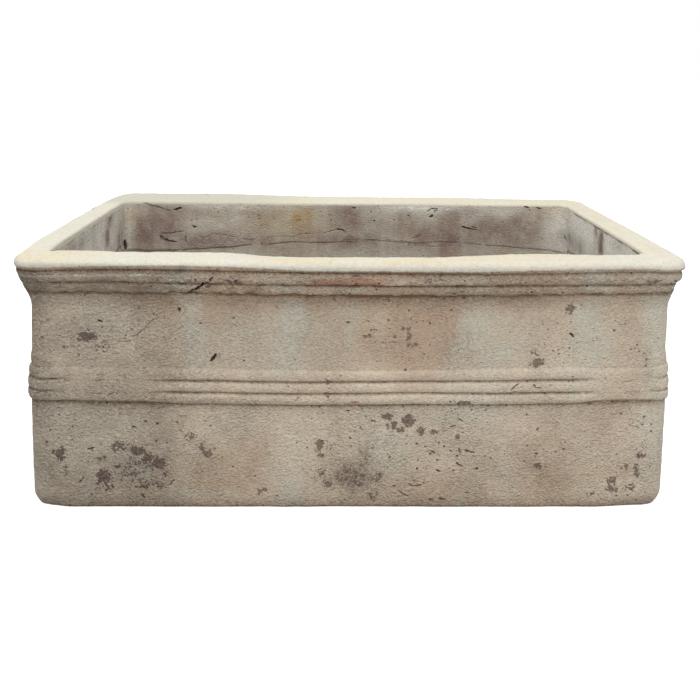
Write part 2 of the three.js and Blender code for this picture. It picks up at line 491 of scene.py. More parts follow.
FRONT_FEATURES = {
    "gash_through_the_beads": (2.5, 4, ((190, 289), (196, 285), (203, 280))),
    "heart_of_the_gash": (3.3, 4.5, ((193, 287), (198, 285))),
    "notch_over_the_gash": (1.6, 2.4, ((210, 275), (213, 273))),
    "torn_edge_of_the_gash": (1.3, 1.6, ((186, 291), (190, 288)), ((204, 281), (209, 277)), ((206, 283),
        (211, 282))),
    "crack_upper_left": (0.8, 1.1, ((130, 335), (137, 334), (147, 324), (157, 314))),
    "crack_under_it": (1.1, 1.2, ((124, 341), (131, 340))),
    "slot_above_the_band": (2.7, 3.6, ((211, 360), (215, 354))),
    "tail_of_the_slot": (0.8, 1, ((216, 354), (219, 352)), ((217, 356), (219, 355))),
    "hole_upper_left": (2.5, 3.2, ((178, 307), (179, 309))),
    "nick_upper_left": (2, 2.4, ((98, 319), (102, 321))),
    "nicks_near_it": (1.4, 1.5, ((138, 307),), ((102, 326),), ((64, 345),), ((42, 337),)),
    "holes_under_the_beads": (1.5, 1.6, ((85, 293),), ((444, 297),), ((199, 322), (201, 322))),
    "holes_in_upper_bead": (1.7, 2.2, ((196, 275),), ((354, 281), (356, 279)), ((378, 279),), ((211, 276),)),
    "worm_hole_in_upper_bead": (1.6, 1.4, ((234, 277), (238, 276))),
    "specks_in_upper_bead": (1.2, 1.3, ((283, 280),), ((304, 279),), ((490, 275),), ((652, 281), (658, 280))),
    "hole_in_lower_bead": (1.8, 2.4, ((531, 290),)),
    "dent_in_lower_bead": (1.5, 1.5, ((452, 291), (456, 290)), ((340, 290),), ((349, 291),)),
    "nicks_in_the_lip": (1.1, 1.3, ((261, 268),), ((303, 269),), ((352, 271), (362, 272)), ((213, 268),)),
    "speck_upper_middle": (1.7, 2.2, ((346, 322), (350, 321))),
    "scratch_upper_middle": (0.8, 0.9, ((333, 320), (335, 318)), ((307, 313),)),
    "specks_upper_middle": (1.2, 1.4, ((424, 354),), ((383, 342),), ((414, 345), (415, 346))),
    "line_under_the_outlines": (0.7, 0.7, ((382, 343), (390, 342), (400, 343))),
    "hole_near_right_blot": (1.3, 1.4, ((556, 324),)),
    "notch_right": (2, 2.4, ((569, 334), (573, 337))),
    "specks_right": (1.4, 1.5, ((557, 350),), ((558, 354),), ((581, 305),), ((552, 351),), ((570, 322),)),
    "specks_far_right": (1.3, 1.4, ((630, 350),), ((636, 345),), ((638, 352),), ((628, 298),), ((624, 325),)),
    "crack_over_right_blot": (1.1, 1.5, ((530, 353), (533, 349)), ((535, 349), (534, 354), (538, 356))),
    "smile_in_the_band": (1.1, 1.7, ((531, 383), (533, 386), (538, 387))),
    "eyebrow_in_the_band": (1.2, 1.5, ((509, 389), (514, 384), (516, 383)), ((511, 391), (515, 391))),
    "speck_in_the_band": (1.3, 1.3, ((550, 378),), ((603, 378),), ((570, 376),)),
    "pit_in_left_band": (1.3, 1.5, ((119, 391),)),
    "roughness_in_left_band": (0.9, 1, ((110, 394), (116, 391)), ((126, 390), (130, 393)), ((66, 380),
        (72, 379))),
    "creases_of_left_smear": (0.7, 0.9, ((40, 378), (58, 377)), ((96, 379), (106, 378)), ((146, 371),
        (150, 370)), ((38, 392), (44, 390), (56, 389)), ((92, 392), (108, 392))),
    "creases_of_right_smear": (0.7, 0.8, ((618, 381), (632, 380)), ((646, 389), (656, 388)), ((622, 391),
        (636, 390))),
    "pits_in_middle_band": (1.1, 1.3, ((326, 378),), ((333, 379),), ((324, 392), (327, 392)), ((295, 399),
        (299, 396)), ((366, 389),), ((384, 391),), ((328, 387), (331, 386)), ((330, 398),), ((333, 400),)),
    "dots_along_the_lower_edge": (1.1, 1.5, ((452, 399),), ((457, 403),), ((462, 404),), ((468, 403),),
        ((474, 402),)),
    "dots_under_the_band": (1.5, 1.5, ((470, 410),), ((346, 411), (349, 411)), ((449, 401),)),
    "small_dots_under_the_band": (1.4, 1.5, ((484, 410),), ((323, 413),), ((450, 412),), ((366, 417),),
        ((459, 420),)),
    "fine_scratches": (1.4, 1.7, ((457, 419), (461, 421)), ((449, 427), (454, 426)), ((371, 420),
        (375, 422))),
    "scratch_lower_right": (1, 1.3, ((625, 408), (627, 414), (629, 423))),
    "foot_of_the_scratch": (1.1, 1.4, ((625, 425), (630, 427), (635, 428))),
    "nicks_lower_right": (1.7, 1.9, ((617, 414),), ((639, 418), (640, 416)), ((638, 425),), ((524, 415),)),
    "slit_lower_right": (1.6, 1.9, ((534, 430), (536, 428))),
    "dots_lower_right": (1.5, 1.6, ((562, 443),), ((525, 446),), ((533, 454), (535, 454)), ((489, 458),),
        ((483, 456),)),
    "trail_of_specks": (1.7, 2, ((416, 444),), ((424, 447),), ((430, 451), (434, 453)), ((428, 455),
        (430, 453)), ((443, 447),), ((449, 450), (451, 452)), ((458, 449), (459, 453)), ((456, 456),)),
    "dash_in_the_trail": (1.6, 2, ((464, 451), (468, 452), (473, 453))),
    "lower_trail": (1.8, 2, ((455, 463), (458, 465), (461, 467)), ((417, 461),), ((474, 469), (476, 468)),
        ((416, 469),), ((435, 470), (438, 471)), ((452, 471),)),
    "short_dashes_low": (1.3, 1.6, ((408, 484), (412, 486), (421, 485)), ((423, 483),), ((392, 486),
        (395, 486)), ((398, 490), (402, 494), (408, 496)), ((464, 492), (466, 493)), ((404, 500),)),
    "pairs_low": (1.6, 1.6, ((428, 498), (432, 500)), ((438, 498), (444, 499))),
    "dots_lower_middle": (1.4, 1.5, ((297, 443),), ((354, 430), (355, 431)), ((360, 427),), ((388, 458),
        (390, 457)), ((312, 418),), ((396, 444),), ((404, 460),), ((371, 449), (373, 448))),
    "pits_lower_left": (1.6, 1.7, ((82, 482), (84, 480)), ((86, 478),), ((144, 493), (146, 497))),
    "dots_lower_left": (1.6, 1.7, ((94, 494),), ((91, 449), (96, 448)), ((103, 444),), ((158, 441),),
        ((62, 414),), ((53, 430),), ((75, 427),), ((77, 420),), ((49, 441), (50, 443)), ((109, 490),)),
    "pits_above_the_ring": (1.8, 1.9, ((146, 421), (149, 421)), ((159, 424),), ((134, 426), (137, 427)),
        ((212, 426),)),
    "dots_right_of_the_ring": (1.4, 1.5, ((223, 458),), ((216, 449),), ((182, 431),), ((171, 484),
        (176, 480))),
    "corner_notches": (1.7, 1.7, ((673, 279), (676, 281)), ((669, 282),)),
}

# Raised rolls of clay that the tool left in the beads
ROLLED_CLAY = {
    "lower_bead_right": (1.1, -1.3, ((521, 284), (526, 283), (532, 284))),
    "upper_bead_right": (0.9, -0.9, ((600, 278), (608, 277), (615, 277))),
    "lower_bead_far_right": (0.9, -0.9, ((572, 288), (580, 287))),
    "lip_middle": (0.9, -0.8, ((475, 271), (486, 270), (497, 270))),
    "edge_of_the_gash": (1.2, -1, ((193, 293), (204, 294))),
    "flaps_beside_the_gash": (2, -1.2, ((181, 277), (188, 276)), ((205, 284), (213, 282)), ((166, 275),
        (177, 276))),
    "lower_bead_middle": (1.3, -1.1, ((306, 291), (312, 292))),
    "fold_lower_left": (2.4, -1.5, ((39, 452), (46, 463), (56, 474), (70, 485))),
    "seam_of_the_band_left": (0.8, -0.7, ((40, 381), (56, 380)), ((36, 395), (52, 393))),
    "seam_of_the_band_right": (0.7, -0.7, ((598, 367), (618, 366), (628, 366))),
}

# The same kinds of mark on the inner face of the back wall
INNER_FEATURES = {
    "crack_under_the_back_rim": (1.3, 1.3, ((144, 203), (153, 206), (164, 209), (171, 211))),
    "gash_under_the_back_rim": (2.1, 3.6, ((174, 210), (181, 208))),
    "dots_beside_it": (1.4, 2, ((191, 220),), ((196, 219),), ((214, 208),), ((218, 212),), ((226, 211),)),
    "hole_left": (2.2, 3.2, ((192, 226), (196, 227))),
    "holes_middle": (1.9, 3, ((353, 208), (355, 208)), ((371, 212),), ((374, 221),)),
    "hooks_left_of_middle": (0.9, 1.3, ((255, 214), (262, 216)), ((258, 219), (261, 218))),
    "dots_middle": (1.2, 1.5, ((275, 218),), ((299, 219), (301, 220)), ((330, 215),), ((330, 220),
        (332, 220)), ((394, 220),), ((408, 216), (410, 216)), ((241, 204),), ((396, 213),)),
    "claw_marks": (1.3, 2, ((427, 212), (431, 209), (438, 209)), ((437, 210), (434, 213))),
    "hole_under_the_claw": (2.2, 3.6, ((430, 217), (433, 216))),
    "long_hole_right": (2.1, 3.6, ((462, 227), (469, 229))),
    "tail_of_the_long_hole": (1.4, 2, ((469, 229), (477, 230)), ((472, 227), (476, 228))),
    "pair_under_the_rim_right": (1.7, 2.4, ((524, 207), (529, 208)), ((537, 208), (541, 209))),
    "dots_right": (1.2, 1.3, ((503, 222),), ((498, 228),), ((514, 228),), ((540, 238), (543, 241)),
        ((562, 235), (563, 239)), ((563, 211),), ((545, 231),)),
    "flaked_square": (1.25, 1.7, ((159, 234), (171, 233), (184, 231), (186, 242)), ((159, 234), (163, 243))),
    "clods_in_the_square": (2.2, 2.2, ((164, 239), (169, 241), (176, 242)), ((160, 236), (163, 238))),
    "wavy_line": (0.9, 1, ((198, 235), (204, 238), (212, 234), (223, 234), (240, 238), (250, 240),
        (256, 239), (280, 236), (292, 237), (302, 234), (322, 233), (331, 231), (337, 229), (345, 231))),
    "hook_of_the_wavy_line": (1.6, 2.2, ((337, 229), (341, 230), (345, 231))),
    "branch_right": (1, 1.2, ((410, 239), (417, 237), (421, 234))),
    "cracks_above_the_seam": (0.8, 0.8, ((345, 240), (372, 240), (394, 242), (420, 246), (446, 247)),
        ((380, 239), (400, 241), (424, 244))),
    "socket_in_left_corner": (3.2, 4, ((126, 240), (127, 249))),
}

# Soft patches of the wash on the front wall: column, row, half width and half height in pixels, strength
COOL_PATCHES = {
    "above_the_band": ((262, 343, 55, 28, 0.9), (225, 352, 40, 14, 0.5), (490, 325, 22, 30, 0.7),
        (528, 335, 34, 34, 0.6), (590, 345, 40, 34, 0.6), (100, 318, 30, 12, 0.4), (293, 325, 9, 42, 0.4),
        (505, 340, 16, 40, 0.7)),
    "left_corner": ((45, 345, 10, 34, 0.7), (40, 440, 8, 60, 0.9), (62, 432, 20, 24, 0.3),
        (38, 385, 18, 16, 0.8)),
    "right_corner": ((660, 330, 19, 60, 1.2), (655, 440, 20, 56, 1.3), (668, 277, 18, 8, 1)),
    "under_the_band": ((90, 432, 26, 18, 0.4), (238, 418, 40, 18, 0.7), (440, 412, 34, 14, 0.6),
        (505, 424, 30, 22, 0.3)),
    "low_left": ((143, 466, 14, 9, 1), (205, 495, 34, 5, 0.6)),
    "low_middle": ((292, 460, 16, 40, 0.9), (320, 425, 40, 22, 0.4), (395, 442, 50, 34, 0.4),
        (290, 492, 40, 8, 0.3)),
    "low_right": ((480, 470, 16, 20, 0.4), (620, 492, 40, 8, 0.6), (500, 470, 12, 32, 0.6)),
}
WARM_PATCHES = {
    "upper_left": ((60, 305, 24, 20, 0.6), (140, 352, 46, 18, 0.3), (178, 302, 36, 16, 0.9),
        (215, 313, 46, 22, 0.9)),
    "upper_middle": ((310, 305, 46, 18, 0.8), (350, 300, 36, 24, 0.6), (330, 338, 50, 28, 1),
        (322, 335, 12, 36, 0.8)),
    "upper_right": ((440, 335, 40, 34, 1.5), (560, 300, 60, 20, 0.7), (466, 320, 12, 30, 0.6)),
    "beads": ((190, 282, 150, 11, 1.4), (460, 282, 170, 11, 1.5)),
    "over_the_band": ((170, 358, 60, 8, 0.5), (445, 348, 34, 14, 1.1), (644, 362, 8, 18, 1.2)),
    "under_the_band": ((180, 415, 60, 12, 0.5), (575, 425, 40, 16, 1), (155, 430, 34, 18, 0.5)),
    "low": ((230, 470, 50, 26, 1.3), (440, 487, 50, 16, 1.2), (500, 465, 34, 20, 1.4),
        (590, 465, 44, 16, 0.3), (545, 460, 22, 34, 1.4)),
}
# The cloud and ring entries are soot; the beads, reeds and low entries are strips of painted shade along and
# under the beads and the band
SMOKE_AND_SHADE_PATCHES = {
    "cloud": ((350, 478, 19, 14, 1.7), (364, 460, 8, 12, 1.1), (332, 474, 10, 9, 0.35)),
    "ring": ((130, 465, 26, 14, 0.4), (102, 461, 10, 6, 0.6)),
    "beads": ((440, 299, 120, 5, 0.4), (300, 299, 130, 5, 0.5), (480, 289, 46, 4, 0.25),
        (580, 279, 22, 4, 0.35)),
    "reeds": ((540, 398, 24, 5, 0.3), (205, 399, 60, 4, 0.7)),
    "above_the_band": ((190, 360, 36, 38, 0.42), (458, 346, 20, 18, 0.5), (290, 335, 80, 34, 0.25),
        (646, 365, 5, 12, 0.25)),
    "low": ((100, 406, 60, 4, 0.1), (625, 480, 24, 16, 0.1)),
}
BARE_PATCHES = {
    "upper_bead": ((342, 278, 36, 5, 1.15), (318, 276, 26, 4, 0.5), (194, 276, 12, 3, 0.6)),
    "lip_spot": (281, 268, 7, 2.5, 0.7),
    "third_reed": (354, 401, 6, 2.5, 0.7),
}
PALE_PATCHES = {
    "torn_bead": ((184, 280, 18, 5, 1.7), (150, 278, 24, 4, 0.9)),
    "beads": ((392, 280, 22, 4, 1.2), (440, 279, 24, 4, 0.5), (365, 290, 50, 3.5, 0.4),
        (160, 288, 50, 4, 1)),
    "left_of_the_crack": (118, 326, 40, 26, 1.7),
    "first_reed": (355, 372, 30, 4, 0.5),
    "under_the_band": ((350, 420, 50, 16, 0.7), (105, 430, 60, 26, 1.4), (345, 442, 34, 16, 0.5)),
    "low_right": ((605, 455, 34, 22, 0.5), (630, 488, 22, 12, 0.7)),
}

# Places where the wash has flaked off the front wall
FLAKE_PATCHES = {
    "left_blot": ((88, 335, 9.5, 5, 1.35), (70, 345, 9, 4, 0.6), (105, 346, 22, 7, 0.55)),
    "left_stain": ((64, 454, 5.5, 9, 1.1), (68, 468, 3, 9, 0.76), (57, 452, 3, 3, 0.86),
        (93, 449, 6, 3, 0.71)),
    "ring": ((122, 446, 10, 5, 1.05), (139, 450, 9, 6, 1.1), (151, 457, 8, 6, 1.05), (161, 463, 10, 6, 1.15),
        (167, 474, 4, 10, 0.76), (105, 476, 9, 8, 1.1), (103, 458, 9, 4, 0.71), (120, 468, 6, 7, 0.71),
        (146, 486, 9, 5, 0.86), (160, 484, 11, 6, 0.66), (137, 470, 32, 24, 0.56), (110, 487, 10, 5, 0.66)),
    "twin_blots": ((203, 447, 4.5, 4, 1.1), (209, 453, 4.5, 4.5, 1.2), (192, 437, 7, 5, 0.81)),
    "low_blot": ((261, 492, 3.5, 3.5, 1), (265, 489, 3, 2, 0.96)),
    "middle_smudge": ((320, 444, 5, 6, 0.91), (321, 456, 4.5, 2.5, 1), (328, 450, 6, 8, 0.58)),
    "cloud": ((322, 474, 5, 8, 0.78), (328, 483, 5, 4, 0.91), (350, 474, 32, 18, 0.45),
        (378, 478, 8, 8, 0.66), (372, 496, 6, 5, 0.91)),
    "cluster": ((387, 416, 6, 3.5, 1), (394, 425, 3, 6, 0.85), (387, 426, 2.5, 3, 0.86),
        (408, 420, 6, 5, 1.25), (399, 430, 5, 2.5, 0.91), (421, 431, 3.5, 4.5, 1.05), (433, 432, 5, 3, 0.95),
        (443, 430, 2.5, 3, 0.85), (456, 437, 4, 3, 0.85)),
    "outline": ((402, 328, 7, 1.8, 0.95), (409, 336, 2.6, 9, 1.05), (395, 336, 2.2, 3.5, 0.95),
        (410, 345, 4, 2.5, 0.86), (416, 344, 2.5, 2.5, 0.96)),
    "squiggle": ((368, 320, 4.5, 1.5, 0.91), (373, 329, 5, 1.8, 0.96), (367, 335, 4.5, 1.6, 0.96),
        (371, 332, 2, 3, 0.76)),
    "right_blots": ((537, 362, 6.5, 4.5, 1.35), (533, 354, 6, 4, 0.66), (570, 308, 4.5, 4.5, 1.15),
        (570, 313, 3, 2.5, 0.91), (535, 466, 4, 3, 0.95)),
    "right_corner": ((636, 457, 5, 4, 0.95), (632, 471, 3.5, 7, 0.81), (621, 467, 5, 4, 0.81),
        (636, 449, 8, 8, 0.56), (608, 480, 5, 4, 0.95), (609, 489, 7, 4, 0.91), (624, 487, 9, 5, 0.76),
        (587, 493, 8, 3, 0.68)),
    "band": ((645, 358, 6, 12, 0.5), (329, 380, 7, 3, 0.76), (328, 394, 6, 5, 0.66), (462, 402, 10, 2, 0.96)),
    "beads": ((233, 277, 9, 4, 0.78), (650, 279, 8, 3, 0.71), (428, 277, 18, 3, 0.61),
        (459, 290, 7, 3, 0.66)),
}

# Places with scattered specks
SPECKLED_PATCHES = {
    "left": ((136, 468, 42, 28, 1.3), (64, 452, 16, 18, 0.7), (204, 448, 20, 12, 0.6),
        (92, 340, 26, 12, 0.6)),
    "middle": ((322, 450, 14, 14, 0.7), (350, 478, 36, 18, 0.9), (420, 428, 34, 14, 1.5),
        (445, 448, 44, 14, 1.5), (425, 485, 46, 14, 1.2), (400, 336, 26, 14, 1.1)),
    "right": ((628, 470, 26, 26, 1), (575, 335, 36, 22, 0.6)),
    "band": ((330, 388, 26, 12, 0.7), (520, 388, 26, 8, 0.5)),
    "beads": ((240, 277, 20, 5, 0.9), (650, 279, 16, 5, 0.8)),
}

# Zones of the lining on the inner face of the back wall
DAMP_PATCHES = {
    "left_end": ((158, 230, 24, 22, 1.3), (170, 210, 22, 9, 0.6)),
    "middle": ((348, 218, 14, 18, 1.1), (388, 224, 26, 12, 0.6)),
    "right": ((458, 222, 20, 18, 0.8), (495, 232, 50, 14, 0.9), (525, 226, 26, 14, 0.8)),
    "low": ((400, 246, 60, 6, 0.6), (205, 241, 64, 8, 0.8), (345, 240, 36, 8, 1), (440, 238, 28, 12, 1.2)),
}
OCHRE_PATCHES = {
    "spot": (303, 219, 13, 10, 1.1),
    "halo": (290, 222, 30, 14, 0.5),
    "far_right": (550, 210, 12, 8, 0.5),
    "left_corner": (133, 212, 8, 12, 0.6),
}
CHALK_PATCHES = {
    "left_corner": (141, 208, 6, 12, 0.9),
    "left_high": (230, 205, 44, 4, 0.7),
    "right_high": (500, 211, 36, 7, 0.6),
    "middle_high": (435, 206, 40, 5, 1.5),
    "right_corner": (565, 226, 17, 28, 1.7),
    "left_middle": (215, 226, 24, 8, 0.25),
}
FRONT_LAYERS = {
    "cool": COOL_PATCHES,
    "warm": WARM_PATCHES,
    "smoke_and_shade": SMOKE_AND_SHADE_PATCHES,
    "bare": BARE_PATCHES,
    "dry": PALE_PATCHES,
    "flake": FLAKE_PATCHES,
    "specks": SPECKLED_PATCHES,
}
INNER_LAYERS = {
    "damp": DAMP_PATCHES,
    "ochre": OCHRE_PATCHES,
    "chalk": CHALK_PATCHES,
}

# Streaks on the inner faces of the two ends
LEFT_END_LAYERS = {
    "damp": {
        "streak_high": (111, 219, 3.2, 10, 1.2),
        "streak_low": (108, 236, 2.2, 9, 1.2),
        "brown_low": (82, 244, 11, 7, 0.6),
        "beside_the_socket": (121, 240, 2.5, 10, 0.8),
    },
    "ochre": {
        "corner": (133, 208, 3.5, 9, 1.1),
        "beside_it": (125, 216, 4, 8, 0.5),
    },
    "chalk": {
        "streak": (100, 236, 4.5, 14, 0.8),
        "thin_streak": (116, 232, 1.8, 12, 0.7),
        "pale_high": (122, 222, 3.5, 12, 0.8),
        "under_the_lime": (68, 243, 5, 5, 0.8),
        "all_over": (100, 235, 44, 26, 0.8),
    },
}
RIGHT_END_LAYERS = {
    "damp": {
        "streak": (602, 243, 2.8, 13, 1.4),
        "streak_high": (598, 232, 1.8, 8, 1),
        "corner_low": (574, 244, 9, 8, 0.7),
        "far": (620, 248, 5, 5, 0.4),
    },
    "ochre": {
        "corner": (568, 214, 3, 6, 0.4),
    },
    "chalk": {
        "white_streak": (593, 240, 3.6, 15, 1.4),
        "high": (580, 219, 11, 10, 1.1),
        "far_end": (622, 243, 12, 7, 1),
        "all_over": (600, 235, 44, 30, 1.8),
    },
}


def patch_field(points, patches, plane, seed, reach=0.05, facing=1):
    """Greatest of soft patches on an upright plane that faces along an axis, 0 away from it."""
    field = np.zeros(len(points))
    near = np.abs(points[:, facing] - plane) < reach
    along, z = points[near, 1 - facing], points[near, 2]
    shift = 0.22 * layered_noise(points[near], 0.03, seed, 2)
    total = np.zeros(len(z))
    for column, row, half_width, half_height, strength in np.vstack(list(patches.values())):
        centre = on_plane(column, row, plane, facing)
        side = on_plane(column + half_width, row, plane, facing)
        lower = on_plane(column, row + half_height, plane, facing)
        across = (along - centre[1 - facing]) / (side[1 - facing] - centre[1 - facing])
        upward = (z - centre.z) / (centre.z - lower.z)
        distance = np.sqrt(across ** 2 + upward ** 2) + shift
        total = np.maximum(total, strength * np.exp(-0.7 * np.clip(distance, 0, 9) ** 2))
    field[near] = total
    return field


# Meshes

def grid_mesh(name, ring, inset, height, attributes):
    """Mesh of a closed section carried round the ring: rows by stations, closed both ways."""
    points = ring.points(inset, height)
    rows, stations = inset.shape
    index = np.arange(rows * stations).reshape(rows, stations)
    next_row = np.roll(index, -1, axis=0)
    next_station = np.roll(index, -1, axis=1)
    both = np.roll(next_row, -1, axis=1)
    quads = np.stack([index, next_station, both, next_row], axis=-1).reshape(-1, 4)
    mesh = bpy.data.meshes.new(name)
    mesh.from_pydata(points.reshape(-1, 3), [], quads)
    shared = {"arc": np.broadcast_to(ring.arc, inset.shape), "level": height}
    for label, values in {**shared, **attributes}.items():
        set_layer(mesh, label, values)
    mesh.update()
    return mesh


def coordinates(mesh):
    flat = np.empty(len(mesh.vertices) * 3, np.float32)
    mesh.vertices.foreach_get("co", flat)
    return flat.reshape(-1, 3).astype(float)


def normals(mesh):
    flat = np.empty(len(mesh.vertices) * 3, np.float32)
    mesh.vertex_normals.foreach_get("vector", flat)
    return flat.reshape(-1, 3).astype(float)


def layer_values(mesh, label):
    flat = np.empty(len(mesh.vertices), np.float32)
    mesh.attributes[label].data.foreach_get("value", flat)
    return flat.astype(float)


def set_layer(mesh, label, values):
    layer = mesh.attributes.get(label) or mesh.attributes.new(label, "FLOAT", "POINT")
    layer.data.foreach_set("value", np.ascontiguousarray(values, dtype=np.float32).ravel())


def add_layer(mesh, label, values):
    """Adds to a layer that is there."""
    set_layer(mesh, label, layer_values(mesh, label) + values)


def marks_closeness(points, marks):
    """Greatest closeness to any mark, the depth there, and how dark the painted shade of the marks is there.
    """
    best = np.full(len(points), -1.0)
    depth = np.zeros(len(points))
    tone = np.zeros(len(points))
    broken = ease(-0.6, 0.15, layered_noise(points, 0.015, 71, 2))
    for mark in marks:
        margin = np.array([3 * mark.width + 0.004, 0.025, 3 * mark.width + 0.004])
        low = np.minimum(mark.start, mark.start + mark.line) - margin
        high = np.maximum(mark.start, mark.start + mark.line) + margin
        near = np.nonzero(np.all((points > low) & (points < high), axis=1))[0]
        flat = points[near].copy()
        flat[:, 1] = mark.start[1]
        closeness = mark.closeness(flat)
        best[near] = np.maximum(best[near], closeness)
        depth[near] += mark.depth * ease(0, 0.8, closeness) * (np.abs(depth[near]) < abs(mark.depth))
        strength = mark.tone * (broken[near] if mark.thin else 1)
        tone[near] = np.maximum(tone[near], strength * ease(0, 0.55, closeness))
    return best, depth, tone


def refine_near_marks(mesh):
    """Halves the faces round all the marks, once for each round; returns the marks."""
    marks = marks_of(FRONT_FEATURES, FRONT_PLANE) + marks_of(ROLLED_CLAY, FRONT_PLANE)
    marks += marks_of(INNER_FEATURES, INNER_BACK_PLANE)
    work = bmesh.new()
    work.from_mesh(mesh)
    for _ in range(HALVING_ROUNDS):
        work.verts.ensure_lookup_table()
        points = np.array([vertex.co for vertex in work.verts])
        best = marks_closeness(points, marks)[0]
        edges = {edge for index in np.nonzero(best > -0.98)[0] for edge in work.verts[index].link_edges}
        bmesh.ops.subdivide_edges(work, edges=list(edges), cuts=1, use_grid_fill=True)
    work.to_mesh(mesh)
    work.free()
    mesh.update()
    return marks


# Bends of the whole trough, in metres; each wave is its size, centre and width
FRONT_TILT = 0.0008
BACK_EDGE_LIFT = 0.0045
BACK_EDGE_TILT = 0.003
BACK_EDGE_WAVES = ((0.0026, -0.21, 0.11), (0.0016, 0.185, 0.05))
UPPER_FRONT_NARROWING = 0.0028
FOOT_WIDENING = 0.004
RIGHT_WALL_SHIFT = 0.0018
LEFT_LIP_WAVES = ((0.0037, -0.115, 0.055), (0.001, 0.0, 0.06))
LEFT_LIP_DRAW_IN = 0.0032


def waves(table, value):
    """Sum of soft bumps, each with its size, centre and width."""
    return sum(size * bump(centre, width, value) for size, centre, width in table)


def settle(points):
    """Slow bends and sags of the whole trough, as clay takes them before it is fired."""
    sizes = form()
    moved = points.copy()
    x, y, z = points[:, 0], points[:, 1], points[:, 2]
    high = z / HEIGHT
    front = ease(0, -HALF_DEPTH, y)
    along = 1 - (x / HALF_LENGTH) ** 2
    back_edge = ease(INNER_BACK_PLANE, HALF_DEPTH, y)
    moved[:, 2] -= sizes.front_sag * front * along * high ** 3
    moved[:, 2] += FRONT_TILT * front * x / HALF_LENGTH * high
    moved[:, 2] += back_edge * (BACK_EDGE_LIFT - BACK_EDGE_TILT * x / HALF_LENGTH) * high ** 6
    moved[:, 2] += back_edge * high ** 6 * waves(BACK_EDGE_WAVES, x)
    moved[:, 2] += sizes.wander * layered_noise(points, 0.3, 11, 2) * high
    narrowing = UPPER_FRONT_NARROWING * front * ease(0.22, 0.3, z) - FOOT_WIDENING * ease(0.2, 0.12, z)
    moved[:, 0] *= 1 - narrowing / HALF_LENGTH
    moved[:, 0] += RIGHT_WALL_SHIFT * ease(0.05, 0.35, x) * ease(0.285, 0.255, z)
    bulge = waves(LEFT_LIP_WAVES, y) - LEFT_LIP_DRAW_IN * ease(0.1, 0.18, y)
    moved[:, 0] -= bulge * ease(-0.33, -0.38, x) * ease(0.25, 0.29, z)
    moved[:, 0] += sizes.wander * layered_noise(points, 0.28, 21, 2) * high
    moved[:, 1] += sizes.wander * layered_noise(points, 0.28, 31, 2) * (0.3 + 0.7 * high)
    return moved


def finish_surface(mesh, marks, press, erosion=None):
    """Presses dents, pits and sags into the mesh and stores its wear and the painted shade of its pits;
    returns the unsettled points.
    """
    points = coordinates(mesh)
    outward = normals(mesh)
    dents = press * (0.55 * layered_noise(points, 0.045, 41, 2) + 0.35 * layered_noise(points, 0.014, 51, 2))
    if erosion is not None:
        dents += erosion * layered_noise(points, 0.009, 57, 2)
    jitter = 0.0008 * np.stack([layered_noise(points, 0.004, 61 + axis, 2) for axis in range(3)], axis=-1)
    _best, depth, tone = marks_closeness(points + jitter, marks)
    settled = settle(points + outward * (dents - depth)[:, None])
    mesh.vertices.foreach_set("co", settled.astype(np.float32).ravel())
    # Painted shade inside the marks, darker where they are deeper
    set_layer(mesh, "pit", tone)
    wear_layers(mesh, points)
    mesh.shade_smooth()
    mesh.update()
    return points


